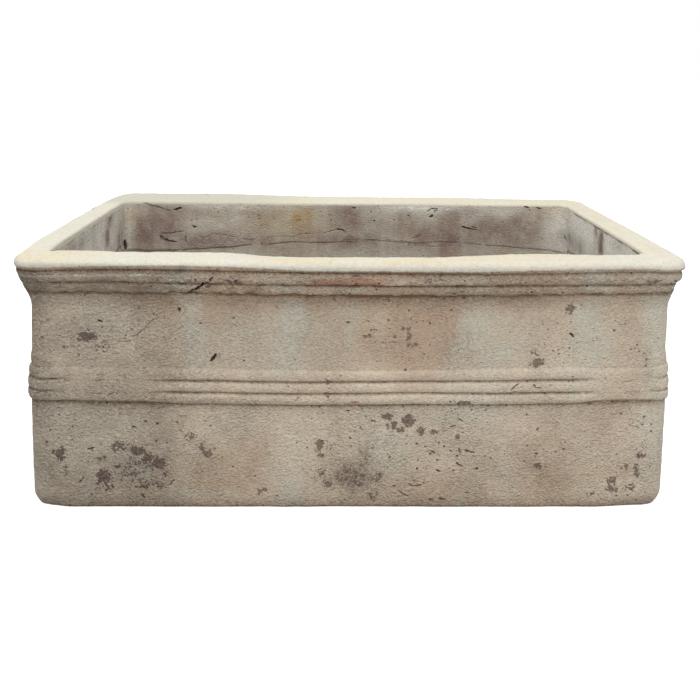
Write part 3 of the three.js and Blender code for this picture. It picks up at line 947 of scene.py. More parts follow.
def wear_layers(mesh, points):
    """Stores patches of wash, flakes, stains and painted shade as layers, and a painted lightening towards
    the foot: the traced ones, and others elsewhere.
    """
    on_front = ease(0.03, 0.01, np.abs(points[:, 1] - FRONT_PLANE))
    end_face = HALF_LENGTH - RIM_WIDTH + form().end_widening
    from_end = end_face - np.abs(points[:, 0])
    between_sides = np.abs(points[:, 1]) < INNER_BACK_PLANE + INSIDE_MARGIN
    near_end = between_sides * (from_end > -0.012) * ease(0.024, 0.005, from_end)
    for number, (label, patches) in enumerate(FRONT_LAYERS.items()):
        set_layer(mesh, label, patch_field(points, patches, FRONT_PLANE, 101 + number))
    for number, (label, patches) in enumerate(INNER_LAYERS.items()):
        elsewhere = ease(0.1, 0.8, layered_noise(points, 0.09, 121 + number, 3))
        near_back = ease(0.05, 0.02, np.abs(points[:, 1] - INNER_BACK_PLANE)) * ease(0.15, 0.19, points[:, 2])
        own = patch_field(points, patches, INNER_BACK_PLANE, 111 + number)
        set_layer(mesh, label, own + (1 - near_back) * (1 - near_end) * elsewhere)
    x, z = points[:, 0], points[:, 2]
    left_end, right_end = near_end * (x < 0), near_end * (x > 0)
    for share, plane, tables in ((left_end, -end_face, LEFT_END_LAYERS),
                                 (right_end, end_face, RIGHT_END_LAYERS)):
        for number, (label, patches) in enumerate(tables.items()):
            streaks = patch_field(points, patches, plane, 151 + number, 0.02, 0)
            set_layer(mesh, label, layer_values(mesh, label) * (1 - 0.6 * share) + streaks * share)
    add_layer(mesh, "cool", 0.8 * left_end + 1.0 * right_end)
    edge_shade = (0.55 + 0.35 * ease(0.1, 0.2, z)) * ease(-0.335, -0.385, x) * on_front
    add_layer(mesh, "smoke_and_shade", edge_shade * ease(0.02, 0.06, z))
    low, right = ease(0.165, 0.12, z), ease(0.1, 0.25, x)
    coarse = 0.85 + on_front * (1.35 * ease(-0.17, -0.26, x) + (0.5 - 0.05 * right) * low)
    interior = (np.abs(x) < end_face + 0.005) & between_sides
    set_layer(mesh, "coarse", np.where(interior, 0.5, coarse + 0.3 * (1 - on_front)))
    gate = ease(0.05, 0.7, layered_noise(points, 0.2, 131, 2))
    spots = ease(0.35, 0.95, layered_noise(points, 0.035, 141, 2))
    add_layer(mesh, "flake", (1 - on_front) * gate * spots * 1.1)
    for number, (label, most) in enumerate((("cool", 1.0), ("warm", 0.8), ("smoke_and_shade", 0.7))):
        clouds = ease(0.15, 0.95, layered_noise(points, 0.13, 161 + number, 3))
        add_layer(mesh, label, (1 - on_front) * clouds * most)
    low = ease(0.25, 0.1, z) * (0.3 + 0.7 * ease(0.01, 0.07, z))
    rightward = ease(-0.4, 0.4, x)
    leftward = ease(-0.2, -0.32, x)
    dry = 0.4 + 0.7 * leftward - 0.3 * bump(-0.1, 0.17, x) * ease(0.1, 0.25, z)
    # Paler towards the foot: painted light, in place of the light that the lower front misses
    dry += low * (0.5 + 0.8 * leftward + 0.3 * rightward)
    add_layer(mesh, "dry", on_front * dry + 0.6 * (1 - on_front))


def new_piece(name, mesh, material, nodes):
    piece = bpy.data.objects.new(name, mesh)
    bpy.context.scene.collection.objects.link(piece)
    mesh.materials.append(material)
    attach(piece, "root")
    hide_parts(*nodes)
    return piece


def side_nodes(stem):
    return [f"{stem}_{side}" for side in ("front", "right", "back", "left")]


# Sections: rows of inset, height and role, where the roles are the numbers below

BURIED, OUTSIDE, LIP, INSIDE, MOULDED = range(5)


def cavetto(depth):
    """How far the hollow flare under the lip stands out from the wall at a depth below the top."""
    sizes = form()
    return sizes.cavetto_reach * ease(sizes.mouldings_height + 0.022, sizes.lip_height - 0.003, depth)


# Swell of the two beads, and depths of the lip groove, the bead groove and the beads' foot
UPPER_BEAD_SWELL = 0.0017
LOWER_BEAD_SWELL = 0.0019
LIP_GROOVE_CUT = 0.0021
BEAD_GROOVE_CUT = 0.0016
BEAD_FOOT_CUT = 0.0008


def bead_relief(depth, x):
    """Swell and grooves of the two beads over the flare, at a depth of the unworn section.

    In the middle of the front the beads bulge lower than near the ends.
    """
    sizes = form()
    lip = sizes.lip_height
    groove = lip + sizes.upper_bead_height
    foot = sizes.mouldings_height
    upper = np.clip((depth - lip) / (groove - lip), 0, 1)
    lower = np.clip((depth - groove) / (foot - groove), 0, 1)
    upper_belly = np.interp(x, (-0.34, -0.18, -0.05, 0.1, 0.22), (1.0, 1.7, 2.7, 2.7, 1.8))
    lower_belly = np.interp(x, (-0.2, -0.05, 0.1), (1.0, 1.5, 1.3))
    swell = UPPER_BEAD_SWELL * np.sin(np.pi * upper ** upper_belly) ** 0.8
    swell += LOWER_BEAD_SWELL * np.sin(np.pi * lower ** lower_belly) ** 0.8
    cuts = LIP_GROOVE_CUT * bump(lip + 0.0008, 0.0021, depth)
    cuts += BEAD_GROOVE_CUT * bump(groove + 0.0003, 0.0015, depth)
    return swell - cuts - BEAD_FOOT_CUT * bump(foot, 0.0016, depth)


def rim_section():
    """Rows of the rim, from under the beads over the lip and down inside."""
    sizes = form()
    lip_radius = sizes.lip_height / 2
    depths = np.linspace(sizes.mouldings_height + 0.004, sizes.lip_height, 46)
    rows = [(OVERHANG, HEIGHT - depth, MOULDED) for depth in depths]
    for turn in np.radians(np.linspace(-75, 90, 17)):
        roundness = lip_radius if turn > 0 else lip_radius * 0.6
        rows.append((roundness * (1 - math.cos(turn)), HEIGHT - lip_radius * (1 - math.sin(turn)), LIP))
    edge = sizes.inner_edge_radius
    rows += [(inset, HEIGHT, LIP) for inset in np.linspace(lip_radius, RIM_WIDTH - edge, 14)[1:-1]]
    for turn in np.radians(np.linspace(90, 0, 6)):
        inset = RIM_WIDTH - edge * (1 - math.cos(turn))
        rows.append((inset, HEIGHT - edge * (1 - math.sin(turn)), INSIDE))
    under_edge = HEIGHT - 0.012
    rows += [(RIM_WIDTH, height, INSIDE) for height in np.linspace(HEIGHT - edge, under_edge, 10)[1:]]
    rows += [(RIM_WIDTH, height, INSIDE) for height in np.linspace(under_edge, SEAM_HEIGHT, 22)[1:]]
    rows.append((RIM_WIDTH - 0.0025, SEAM_HEIGHT - 0.0002, INSIDE))
    rows.append((RIM_WIDTH - 0.012, SEAM_HEIGHT + 0.008, BURIED))
    rows.append((OVERHANG + 0.008, HEIGHT - sizes.mouldings_height - 0.005, BURIED))
    return np.array(rows)


def bead_shifts(x):
    """How much lower than in the unworn section the two grooves and the foot of the beads lie."""
    sizes = form()
    lip = sizes.lip_height
    unworn = (lip, lip + sizes.upper_bead_height, sizes.mouldings_height)
    names = ("lip_groove", "bead_groove", "under_bead")
    return [HEIGHT - traced_height(name, x) - depth for name, depth in zip(names, unworn)]


def shifted_depth(depth, shifts):
    """Depth that a depth of the unworn section comes to."""
    sizes = form()
    lip = sizes.lip_height
    groove = lip + sizes.upper_bead_height
    foot = sizes.mouldings_height
    shares = (
        np.interp(depth, (0.002, lip, groove), (0, 1, 0)),
        np.interp(depth, (lip, groove, foot), (0, 1, 0)),
        np.interp(depth, (groove, foot, foot + 0.05), (0, 1, 1)),
    )
    return depth + sum(share * shift for share, shift in zip(shares, shifts))


def bead_dirt_and_shade(below, weight):
    """Dirt and painted shade under a groove, where the part above overhangs: dense at the groove and fading
    downwards, over the distances of a section.
    """
    under = np.clip(below, 0, 1)
    return weight * np.exp(-under / 0.005) * (below >= 0)


def wall_section():
    """Rows of the walls, from the foot up the outside and down the inside."""
    sizes = form()
    rows = [(OVERHANG + 0.055, 0.003, BURIED), (OVERHANG + 0.052, 0.0, BURIED),
            (OVERHANG + 0.03, 0.0, OUTSIDE)]
    for turn in np.radians(np.linspace(90, 0, 10)):
        inset = OVERHANG + sizes.foot_radius * (1 - math.cos(turn))
        rows.append((inset, sizes.foot_height * (1 - math.sin(turn)), OUTSIDE))
    step = sizes.fine_step
    hidden_top = HEIGHT - sizes.mouldings_height + 0.006
    below_band = np.arange(sizes.foot_height + step, BAND_BOTTOM + 0.004, step)
    rows += [(OVERHANG, height, OUTSIDE) for height in below_band]
    rows.append((OVERHANG, (BAND_BOTTOM + BAND_TOP) / 2, OUTSIDE))
    rows += [(OVERHANG, height, OUTSIDE) for height in np.arange(BAND_TOP - 0.004, hidden_top, step)]
    inner = RIM_WIDTH - 0.0013
    rows.append((OVERHANG, hidden_top + 0.004, BURIED))
    rows.append((inner - 0.003, SEAM_HEIGHT + 0.026, BURIED))
    fillet = 0.012
    visible = np.linspace(SEAM_HEIGHT + 0.02, SEAM_HEIGHT - 0.055, 16)
    lower = np.arange(SEAM_HEIGHT - 0.06, FLOOR_TOP + fillet, -4 * step)
    rows += [(inner, height, INSIDE) for height in np.concatenate([visible, lower])]
    for turn in np.radians(np.linspace(0, 90, 7)):
        inset = inner + fillet * (1 - math.cos(turn))
        rows.append((inset, FLOOR_TOP + fillet * (1 - math.sin(turn)), INSIDE))
    rows.append((inner + 0.02, FLOOR_TOP - 0.0015, BURIED))
    return np.array(rows)


REED_COUNT = 3


def band_section():
    """Rows of the waist band, outside and then back, evenly spaced in its height."""
    rows = [(OVERHANG, height, OUTSIDE) for height in np.linspace(BAND_BOTTOM, BAND_TOP, 68)]
    rows.append((OVERHANG + 0.004, BAND_TOP - 0.008, BURIED))
    rows.append((OVERHANG + 0.004, BAND_BOTTOM + 0.008, BURIED))
    return np.array(rows)


def smear(points):
    """0 where the mouldings are sharp, 1 where a hand has smeared them flat."""
    left = on_plane(112, 385, FRONT_PLANE).x
    right = on_plane(618, 385, FRONT_PLANE).x
    front = points[..., 1] < FRONT_PLANE + 0.02
    at_left = ease(0.085, 0.03, np.abs(points[..., 0] - left))
    on_front = at_left + ease(0.06, 0.02, np.abs(points[..., 0] - right))
    elsewhere = ease(0.1, 0.75, smooth_noise(points, 0.21, 77))
    return np.clip(np.where(front, on_front, elsewhere), 0, 1)


# Materials

# How deep the bumps of the clay's surface go, in metres
GRAIN_DEPTH = 0.0023
BLACK = (0, 0, 0)
WHITE = (1, 1, 1)


class Value:
    """What a shader node puts out, with the sums that it can stand in."""

    def __init__(self, tree, socket):
        self.tree = tree
        self.socket = socket

    def __add__(self, other):
        return calc(self.tree, "ADD", self, other)

    def __mul__(self, other):
        return calc(self.tree, "MULTIPLY", self, other)

    def __rtruediv__(self, other):
        return calc(self.tree, "DIVIDE", other, self)

    def __lt__(self, other):
        return calc(self.tree, "LESS_THAN", self, other)

    def at_most(self, other):
        return calc(self.tree, "MINIMUM", self, other)

    def at_least(self, other):
        return calc(self.tree, "MAXIMUM", self, other)


def put(tree, socket, value):
    """Gives a socket a plain value, or links it to a node's value."""
    if isinstance(value, Value):
        tree.links.new(value.socket, socket)
    elif socket.type == "RGBA":
        socket.default_value = (*value, 1)
    else:
        socket.default_value = value


def calc(tree, operation, first, second):
    """Result of a math node."""
    node = tree.nodes.new("ShaderNodeMath")
    node.operation = operation
    put(tree, node.inputs[0], first)
    put(tree, node.inputs[1], second)
    return Value(tree, node.outputs[0])


def values_of(tree, sockets):
    """A node's outputs by name."""
    return {socket.name: Value(tree, socket) for socket in sockets}


def new_group(name, colours, numbers, outputs):
    """Empty shader node group: the group, what it is given, and its output sockets.

    It is given a vector, the named colours, and the named numbers with their defaults.
    """
    tree = bpy.data.node_groups.new(name, "ShaderNodeTree")
    tree.interface.new_socket(name="Vector", in_out="INPUT", socket_type="NodeSocketVector")
    for label in colours:
        tree.interface.new_socket(name=label, in_out="INPUT", socket_type="NodeSocketColor")
    for label, default in numbers.items():
        socket = tree.interface.new_socket(name=label, in_out="INPUT", socket_type="NodeSocketFloat")
        socket.default_value = default
    for label in outputs:
        kind = "NodeSocketColor" if label == "Color" else "NodeSocketFloat"
        tree.interface.new_socket(name=label, in_out="OUTPUT", socket_type=kind)
    given = values_of(tree, tree.nodes.new("NodeGroupInput").outputs)
    return tree, given, tree.nodes.new("NodeGroupOutput").inputs


def use_group(tree, name, **values):
    """Places a node group and fills its inputs, named with _ for a blank; returns its outputs."""
    node = tree.nodes.new("ShaderNodeGroup")
    node.node_tree = bpy.data.node_groups[name]
    for label, value in values.items():
        put(tree, node.inputs[label.replace("_", " ")], value)
    return values_of(tree, node.outputs)


def noise(vector, wavelength, detail=3, roughness=0.55, shift=0):
    """Noise from 0 to 1 with features of a size in metres."""
    node = vector.tree.nodes.new("ShaderNodeTexNoise")
    node.noise_dimensions = "4D"
    put(vector.tree, node.inputs["Vector"], vector)
    settings = {"W": shift, "Scale": 1 / wavelength, "Detail": detail, "Roughness": roughness}
    for label, number in settings.items():
        node.inputs[label].default_value = number
    return Value(vector.tree, node.outputs["Fac"])


def ramp(value, from_low, from_high, to_low=0, to_high=1):
    """Smooth step of a value between two levels."""
    node = value.tree.nodes.new("ShaderNodeMapRange")
    node.interpolation_type = "SMOOTHSTEP"
    put(value.tree, node.inputs["Value"], value)
    levels = {"From Min": from_low, "From Max": from_high, "To Min": to_low, "To Max": to_high}
    for label, level in levels.items():
        put(value.tree, node.inputs[label], level)
    return Value(value.tree, node.outputs["Result"])


def blend(tree, share, first, second, mode="MIX"):
    """Colour that turns from the first to the second as the share goes from 0 to 1."""
    node = tree.nodes.new("ShaderNodeMix")
    node.data_type = "RGBA"
    node.blend_type = mode
    put(tree, node.inputs["Factor"], share)
    put(tree, node.inputs[6], first)
    put(tree, node.inputs[7], second)
    return Value(tree, node.outputs[2])


def cells_of(vector, scale):
    """Voronoi cells: the distance from each cell's middle, and the cell's random colour."""
    node = vector.tree.nodes.new("ShaderNodeTexVoronoi")
    put(vector.tree, node.inputs["Vector"], vector)
    put(vector.tree, node.inputs["Scale"], scale)
    return values_of(vector.tree, node.outputs)


def layer(tree, label):
    """A layer of wear that is stored in the mesh."""
    node = tree.nodes.new("ShaderNodeAttribute")
    node.attribute_type = "GEOMETRY"
    node.attribute_name = label
    return Value(tree, node.outputs["Fac"])


def run_vector(across, along, across_size, along_size):
    """Stretched coordinates for marks that run one way."""
    tree = across.tree
    node = tree.nodes.new("ShaderNodeCombineXYZ")
    put(tree, node.inputs["X"], across * (1 / across_size))
    put(tree, node.inputs["Y"], along * (1 / along_size))
    return Value(tree, node.outputs["Vector"])


def new_material(name, roughness, specular):
    """Material with a shader of even roughness and gloss: the material, its nodes and the shader."""
    material = bpy.data.materials.new(name)
    material.use_nodes = True
    shader = material.node_tree.nodes["Principled BSDF"]
    shader.inputs["Roughness"].default_value = roughness
    shader.inputs["Specular IOR Level"].default_value = specular
    return material, material.node_tree, shader


def object_vector(tree):
    """Coordinates of the piece itself, in metres."""
    return Value(tree, tree.nodes.new("ShaderNodeTexCoord").outputs["Object"])


def surface(tree, shader, colour, relief):
    """Gives the shader its colour, and a bump from the relief."""
    put(tree, shader.inputs["Base Color"], colour)
    bump_node = tree.nodes.new("ShaderNodeBump")
    bump_node.inputs["Strength"].default_value = 1
    bump_node.inputs["Distance"].default_value = GRAIN_DEPTH
    put(tree, bump_node.inputs["Height"], relief)
    put(tree, shader.inputs["Normal"], Value(tree, bump_node.outputs["Normal"]))


def seen_itself(tree):
    """1 where the camera, a reflection or glass shows the surface, 0 where it only lights the trough."""
    path = values_of(tree, tree.nodes.new("ShaderNodeLightPath").outputs)
    return path["Is Camera Ray"] + path["Is Glossy Ray"] + path["Is Transmission Ray"]


def grain_group():
    """Sand in the clay: a height for bump, and a slight change of tone that is painted highlight on the
    raised grains and painted shade in the pocks.
    """
    tree, given, out = new_group("Sand grain", (), {"Coarseness": 1}, ("Height", "Tone"))
    lengthened = tree.nodes.new("ShaderNodeVectorMath")
    lengthened.operation = "MULTIPLY"
    put(tree, lengthened.inputs[0], given["Vector"])
    lengthened.inputs[1].default_value = (0.95, 0.95, 1.1)
    vector = Value(tree, lengthened.outputs["Vector"])
    sand = ramp(noise(vector, 0.0042, 3, 0.75, 1), 0.3, 0.7)
    fine = noise(vector, 0.0022, 2, 0.6, 2)
    trowel = noise(vector, 0.012, 2, 0.5, 3)
    rough_zone = ramp(noise(vector, 0.06, 2, 0.5, 4), 0.35, 0.65, 0.7, 1.2)
    pocks = ramp(noise(vector, 0.0085, 3, 0.62, 7), 0.4, 0.3)
    coarse = (given["Coarseness"] + -1).at_least(0)
    grains = ramp(cells_of(vector, 1 / 0.0031)["Distance"], 0.75, 0.1)
    lumps = sand * 0.4 + trowel * 0.36
    relief = lumps * (coarse * 0.9 + 0.5) + fine * 0.95 + grains * 0.4
    relief = relief * rough_zone * given["Coarseness"]
    put(tree, out["Height"], relief + pocks * coarse * -1.3)
    # Tone follows the relief: painted highlight where the grain is raised, painted shade in the pocks
    put(tree, out["Tone"], sand * 0.45 + fine * 0.55 + pocks * -0.2)


def pinholes_group():
    """Scattered pinholes, more of them in some zones."""
    tree, given, out = new_group("Pinholes", (), {"Spacing": 0.012, "Share": 0.4}, ("Mask",))
    vector = given["Vector"]
    cells = cells_of(vector, 1 / given["Spacing"])
    split = tree.nodes.new("ShaderNodeSeparateColor")
    put(tree, split.inputs["Color"], cells["Color"])
    random = values_of(tree, split.outputs)
    size = ramp(random["Green"], 0, 1, 0.07, 0.16)
    ragged = cells["Distance"] + noise(vector, 0.003, 2, 0.6, 5) * 0.1 + -0.05
    hole = ramp(ragged, size, size * 0.55)
    zone = ramp(noise(vector, 0.07, 2, 0.5, 6), 0.4, 0.65, 0.22)
    chosen = random["Red"] < given["Share"] * zone
    put(tree, out["Mask"], hole * chosen)


def clouds_group():
    """Tan wash with warm, cool and pale clouds, its own and those that the masks ask for."""
    masks = dict.fromkeys(("Warm mask", "Cool mask", "Pale mask", "Arc", "Height"), 0)
    tree, given, out = new_group("Wash clouds", ("Wash", "Warm", "Cool", "Pale"), masks, ("Color",))
    vector = given["Vector"]
    drift = noise(vector, 0.11, 3, 0.5, 11)
    mottle = noise(vector, 0.03, 3, 0.55, 12)
    runs = noise(run_vector(given["Arc"], given["Height"], 0.07, 0.22), 1, 3, 0.5, 15)
    warmth = given["Warm mask"] * 0.9 + ramp(drift, 0.5, 0.7, 0, 0.5) + ramp(runs, 0.5, 0.68, 0, 0.55)
    coolness = given["Cool mask"] * 0.9 + ramp(drift, 0.5, 0.32, 0, 0.4) + ramp(runs, 0.5, 0.34, 0, 0.7)
    warmth = warmth * ramp(mottle, 0.3, 0.6, 0.65, 1.05)
    coolness = coolness * ramp(mottle, 0.65, 0.4, 0.65, 1.05)
    paleness = given["Pale mask"] * ramp(mottle, 0.3, 0.7, 0.5, 1)
    colour = blend(tree, warmth.at_most(1), given["Wash"], given["Warm"])
    colour = blend(tree, coolness.at_most(1), colour, given["Cool"])
    put(tree, out["Color"], blend(tree, paleness, colour, given["Pale"]))


def flakes_group():
    """Ragged patches and specks where the wash has come off, from a soft cover mask."""
    tree, given, out = new_group("Flaked wash", (), {"Cover": 0}, ("Mask", "Tone"))
    vector = given["Vector"]
    ragged = noise(vector, 0.009, 3, 0.6, 21)
    specks = noise(vector, 0.0032, 2, 0.6, 22)
    put(tree, out["Mask"], ramp(given["Cover"] + ragged * 0.75 + specks * 2.1, 2.02, 2.16))
    put(tree, out["Tone"], noise(vector, 0.004, 3, 0.6, 23))


def lining_group():
    """Damp-stained wash of the inside, with zones of other colours and runs down the sides."""
    colours = ("Lining", "Damp", "Ochre", "Chalk", "Cool")
    masks = ("Damp mask", "Ochre mask", "Chalk mask", "Cool mask", "Runs", "Arc", "Height")
    tree, given, out = new_group("Stained lining", colours, dict.fromkeys(masks, 0), ("Color",))
    vector = given["Vector"]
    mottle = noise(vector, 0.018, 5, 0.65, 61)
    drift = noise(vector, 0.05, 4, 0.6, 62)
    runs = noise(run_vector(given["Arc"], given["Height"], 0.042, 0.3), 1, 3, 0.5, 63)
    thin_runs = noise(run_vector(given["Arc"], given["Height"], 0.012, 0.12), 1, 2, 0.6, 64)
    coolness = ramp(drift, 0.42, 0.62) + given["Cool mask"]
    colour = blend(tree, coolness.at_most(1), given["Lining"], given["Cool"])
    soft = ramp(mottle, 0.25, 0.7, 0.35, 1.2)
    for label in ("Chalk", "Ochre", "Damp"):
        share = (given[label + " mask"] * soft).at_most(1)
        colour = blend(tree, share, colour, given[label])
    pale_runs = ramp(runs, 0.46, 0.62) * given["Runs"]
    dark_runs = ramp(runs, 0.46, 0.34) * given["Runs"]
    rusty_runs = ramp(thin_runs, 0.6, 0.72) * (given["Runs"] * 0.5)
    colour = blend(tree, pale_runs * 0.55, colour, given["Chalk"])
    colour = blend(tree, dark_runs * 0.35, colour, given["Damp"])
    put(tree, out["Color"], blend(tree, rusty_runs, colour, given["Ochre"]))


def washed_clay(name, limed=False, banded=False):
    """Weathered lime wash over terracotta, with clouds, flakes, pits, dirt, painted shade and painted
    highlight.
    """
    colours = finish()
    material, tree, shader = new_material(name, 0.92, 0.2)
    vector = object_vector(tree)
    inside = layer(tree, "inside")
    arc, level = layer(tree, "arc"), layer(tree, "level")

    grain = use_group(tree, "Sand grain", Vector=vector, Coarseness=layer(tree, "coarse"))
    flakes = use_group(tree, "Flaked wash", Vector=vector, Cover=layer(tree, "flake"))
    holes = use_group(tree, "Pinholes", Vector=vector, Spacing=0.013, Share=0.5)["Mask"]
    tiny_holes = use_group(tree, "Pinholes", Vector=vector, Spacing=0.0075, Share=0.7)["Mask"]
    holes = holes.at_least(tiny_holes)
    scattered = use_group(
        tree, "Pinholes", Vector=vector, Spacing=0.007, Share=layer(tree, "specks") * 2.2)["Mask"]
    paleness = layer(tree, "dry") * 0.45
    # The sharp reeds are paler: partly a lighter wash, partly painted highlight on their upward faces
    if banded:
        paleness = paleness + layer(tree, "sharp") * 0.2
    colour = use_group(
        tree, "Wash clouds", Vector=vector, Wash=colours.wash, Warm=colours.warm,
        Cool=colours.cool, Pale=colours.pale, Warm_mask=layer(tree, "warm"),
        Cool_mask=layer(tree, "cool"), Pale_mask=paleness, Arc=arc, Height=level)["Color"]
    # Soot, and painted shade along the left edge and the mouldings, denser in the low parts of the grain
    smoke_and_shade = layer(tree, "smoke_and_shade") * ramp(grain["Tone"], 0.25, 0.75, 0.75, 0.3)
    colour = blend(tree, smoke_and_shade, colour, colours.smoke_and_shade)
    bare = layer(tree, "bare") + noise(vector, 0.02, 4, 0.6, 31)
    colour = blend(tree, ramp(bare, 0.85, 1.25, 0, 0.8), colour, colours.bare)

    if not banded:
        lining = use_group(
            tree, "Stained lining", Vector=vector, Lining=colours.lining, Damp=colours.damp,
            Ochre=colours.ochre, Chalk=colours.chalk, Cool=colours.cool,
            Damp_mask=layer(tree, "damp"), Ochre_mask=layer(tree, "ochre"),
            Chalk_mask=layer(tree, "chalk"), Cool_mask=layer(tree, "cool"),
            Runs=layer(tree, "runs"), Arc=arc, Height=level)["Color"]
        colour = blend(tree, inside, colour, lining)

    # Painted highlight on the raised sand grains and painted shade in the pocks
    sand = ramp(grain["Tone"], 0.2, 0.8, 0.9, 1.11)
    colour = blend(tree, 1, colour, sand, "MULTIPLY")

    if limed:
        streaks = noise(run_vector(arc, layer(tree, "inset"), 0.09, 0.008), 1, 4, 0.6, 43)
        clouds = noise(vector, 0.06, 3, 0.55, 42)
        yellow = ramp(streaks * 0.6 + clouds * 0.5, 0.42, 0.64, 0.35, 1.1) * layer(tree, "yellow")
        greyness = ramp(noise(vector, 0.05, 3, 0.6, 44), 0.48, 0.64, 0, 0.8)
        lime = blend(tree, greyness, colours.lime, colours.lime_grey)
        lime = blend(tree, yellow.at_most(1), lime, colours.lime_yellow)
        specks = ramp(noise(vector, 0.005, 3, 0.6, 46), 0.36, 0.64, 0.95, 1.04)
        lime = blend(tree, 1, lime, specks, "MULTIPLY")
        lime = blend(tree, layer(tree, "dull"), lime, colours.dull_lime)
        ragged = layer(tree, "lime") + noise(vector, 0.014, 3, 0.6, 41) * 0.55
        ragged = ragged + noise(vector, 0.0036, 2, 0.6, 45) * 0.6
        cover = ramp(ragged, 0.82, 1.28)
        border = ramp(ragged, 0.66, 0.95, 0, 0.8) * inside
        colour = blend(tree, border, colour, colours.lime_border)
        colour = blend(tree, cover, colour, lime)
        holes = holes * ramp(cover, 0.3, 1, 1, 0.25)

    # Dirt and painted shade from the stored layer, denser in the low parts of the grain, then dark specks
    # where it is strong
    dirt = noise(vector, 0.02, 4, 0.6, 51) * 0.7 + grain["Tone"] * -0.35
    grime_and_shade = layer(tree, "grime_and_shade") * ramp(dirt, 0, 0.3, 0.55, 1)
    colour = blend(tree, grime_and_shade.at_most(1), colour, colours.grime_and_shade)
    crumbs = ramp(noise(vector, 0.0042, 2, 0.6, 52), 0.56, 0.68)
    crumbs = crumbs * (layer(tree, "grime_and_shade") * 1.1).at_most(0.75)
    colour = blend(tree, crumbs, colour, colours.hollow)
    stain = blend(tree, ramp(flakes["Tone"], 0.35, 0.7), colours.stain, colours.worn_stain)
    flaked = flakes["Mask"].at_least(scattered)
    colour = blend(tree, flaked * 0.92, colour, stain)
    # Painted shade inside pinholes, and inside pits, cracks and gashes, darker where they are deeper
    colour = blend(tree, holes * 0.7, colour, colours.hollow)
    colour = blend(tree, layer(tree, "pit"), colour, colours.hollow)

    relief = grain["Height"]
    if limed:
        relief = relief * ramp(cover, 0, 1, 1.1, 0.35)
    surface(tree, shader, colour, relief + flaked * -0.55 + holes * -0.7)
    return material


def bare_clay(name):
    """Sandy bare terracotta of the floor, dusted with lime and earth."""
    colours = finish()
    material, tree, shader = new_material(name, 0.95, 0.2)
    vector = object_vector(tree)
    grain = use_group(tree, "Sand grain", Vector=vector)
    holes = use_group(tree, "Pinholes", Vector=vector, Spacing=0.016, Share=0.5)["Mask"]
    dust = ramp(noise(vector, 0.045, 5, 0.7, 71), 0.5, 0.68, 0, 0.6)
    colour = use_group(
        tree, "Wash clouds", Vector=vector, Wash=colours.floor_clay, Warm=colours.bare,
        Cool=colours.damp, Pale=colours.pale, Pale_mask=dust)["Color"]
    # Painted highlight on the raised sand grains and painted shade in the pocks
    colour = blend(tree, 1, colour, ramp(grain["Tone"], 0.15, 0.85, 0.88, 1.1), "MULTIPLY")
    colour = blend(tree, layer(tree, "grime_and_shade") * 0.8, colour, colours.grime_and_shade)
    colour = blend(tree, holes * 0.7, colour, colours.hollow)
    surface(tree, shader, colour, grain["Height"] + holes * -0.7)
    return material


# Operators

class TROUGH_OT_finishes(bpy.types.Operator):
    """Builds the shared shader groups: grain, pinholes, clouds, flakes and lining"""

    bl_idname = "trough.finishes"
    bl_label = "Shared finishes"

    def execute(self, context):
        for build in (grain_group, pinholes_group, clouds_group, flakes_group, lining_group):
            build()
        return {"FINISHED"}


def laid_round(section):
    """The ring, and the section's insets, heights and roles spread over its stations."""
    ring = Ring()
    shape = (len(section), ring.count)
    return ring, *(np.broadcast_to(section[:, [column]], shape).copy() for column in range(3))


def level_points(ring, inset, height):
    """Points at one height, for noise that doesn't change up a section."""
    return ring.points(inset, np.full(inset.shape, height))


class TROUGH_OT_walls(bpy.types.Operator):
    """Builds the four walls as one skin, with the rounded foot"""

    bl_idname = "trough.walls"
    bl_label = "Walls"

    def execute(self, context):
        ring, inset, height, role = laid_round(wall_section())
        corner = ring.cornering(0.06 + 0.025 * ring.reach_x)
        foot = (role == OUTSIDE) * ease(0.02, 0, height) ** 1.5
        inset += foot * (0.0003 + 0.0046 * corner)
        inset -= (role == OUTSIDE) * 0.0018 * ring.cornering(0.03) * bump(BAND_TOP + 0.007, 0.009, height)
        inset -= (role == OUTSIDE) * cavetto(HEIGHT - height)
        inset -= (role == OUTSIDE) * 0.0012 * ease(0.05, 0, height) * ring.on_front()
        mesh = grid_mesh("walls", ring, inset, height, {"inside": role == INSIDE})
        marks = refine_near_marks(mesh)
        points = finish_surface(mesh, marks, 0.0007)
        x, y, z = points.T
        inside = layer_values(mesh, "inside")
        middle = 0.3 + 0.7 * bump(0.04, 0.24, x)
        below_beads = np.clip(traced_height("under_bead", x) - z, 0, 1)
        # Painted shade under the beads' overhang, densest in the middle, and a dark line in the crease at
        # their foot
        shade_under_beads = 0.85 * middle * np.exp(-below_beads / (0.002 + 0.008 * middle))
        shade_under_beads += 0.6 * bump(0, 0.002, below_beads)
        # Painted shade towards the foot, and a dark line along the rounded lower edge
        shade_near_foot = 0.4 * ease(0.02, 0.0, z) + 0.5 * ease(0.004, 0.0005, z)
        # Painted shadow under the band's lower edge
        below_band = traced_height("low_line", x) - z
        shadow_under_band = 0.85 * np.exp(-np.clip(below_band, 0, 1) / 0.0035) * (below_band > -0.006)
        # Darker towards the floor on the inside
        low_inside = ease(FLOOR_TOP + 0.09, FLOOR_TOP, z) * inside
        outer = shade_under_beads + shade_near_foot + shadow_under_band
        set_layer(mesh, "grime_and_shade", np.where(inside > 0.5, 0.5 * low_inside, outer))
        ends = 0.5 * ease(0.3, 0.345, np.abs(x)) * inside
        set_layer(mesh, "runs", np.clip(ends + 0.25 * inside, 0, 1))
        clay = washed_clay("washed_terracotta")
        new_piece("trough_walls", mesh, clay, side_nodes("wall"))
        return {"FINISHED"}


# How yellow the lime of the front lip is: column of the photograph, strength
LIP_YELLOWING = {
    "left_corner": (40, 1.0),
    "beside_it": (80, 0.8),
    "left": (120, 0.3),
    "left_of_middle": (230, 0.5),
    "spot": (285, 0.9),
    "middle": (400, 1.1),
    "right_of_middle": (465, 1.0),
    "right": (530, 0.7),
    "far_right": (590, 0.55),
    "right_corner": (625, 0.25),
}


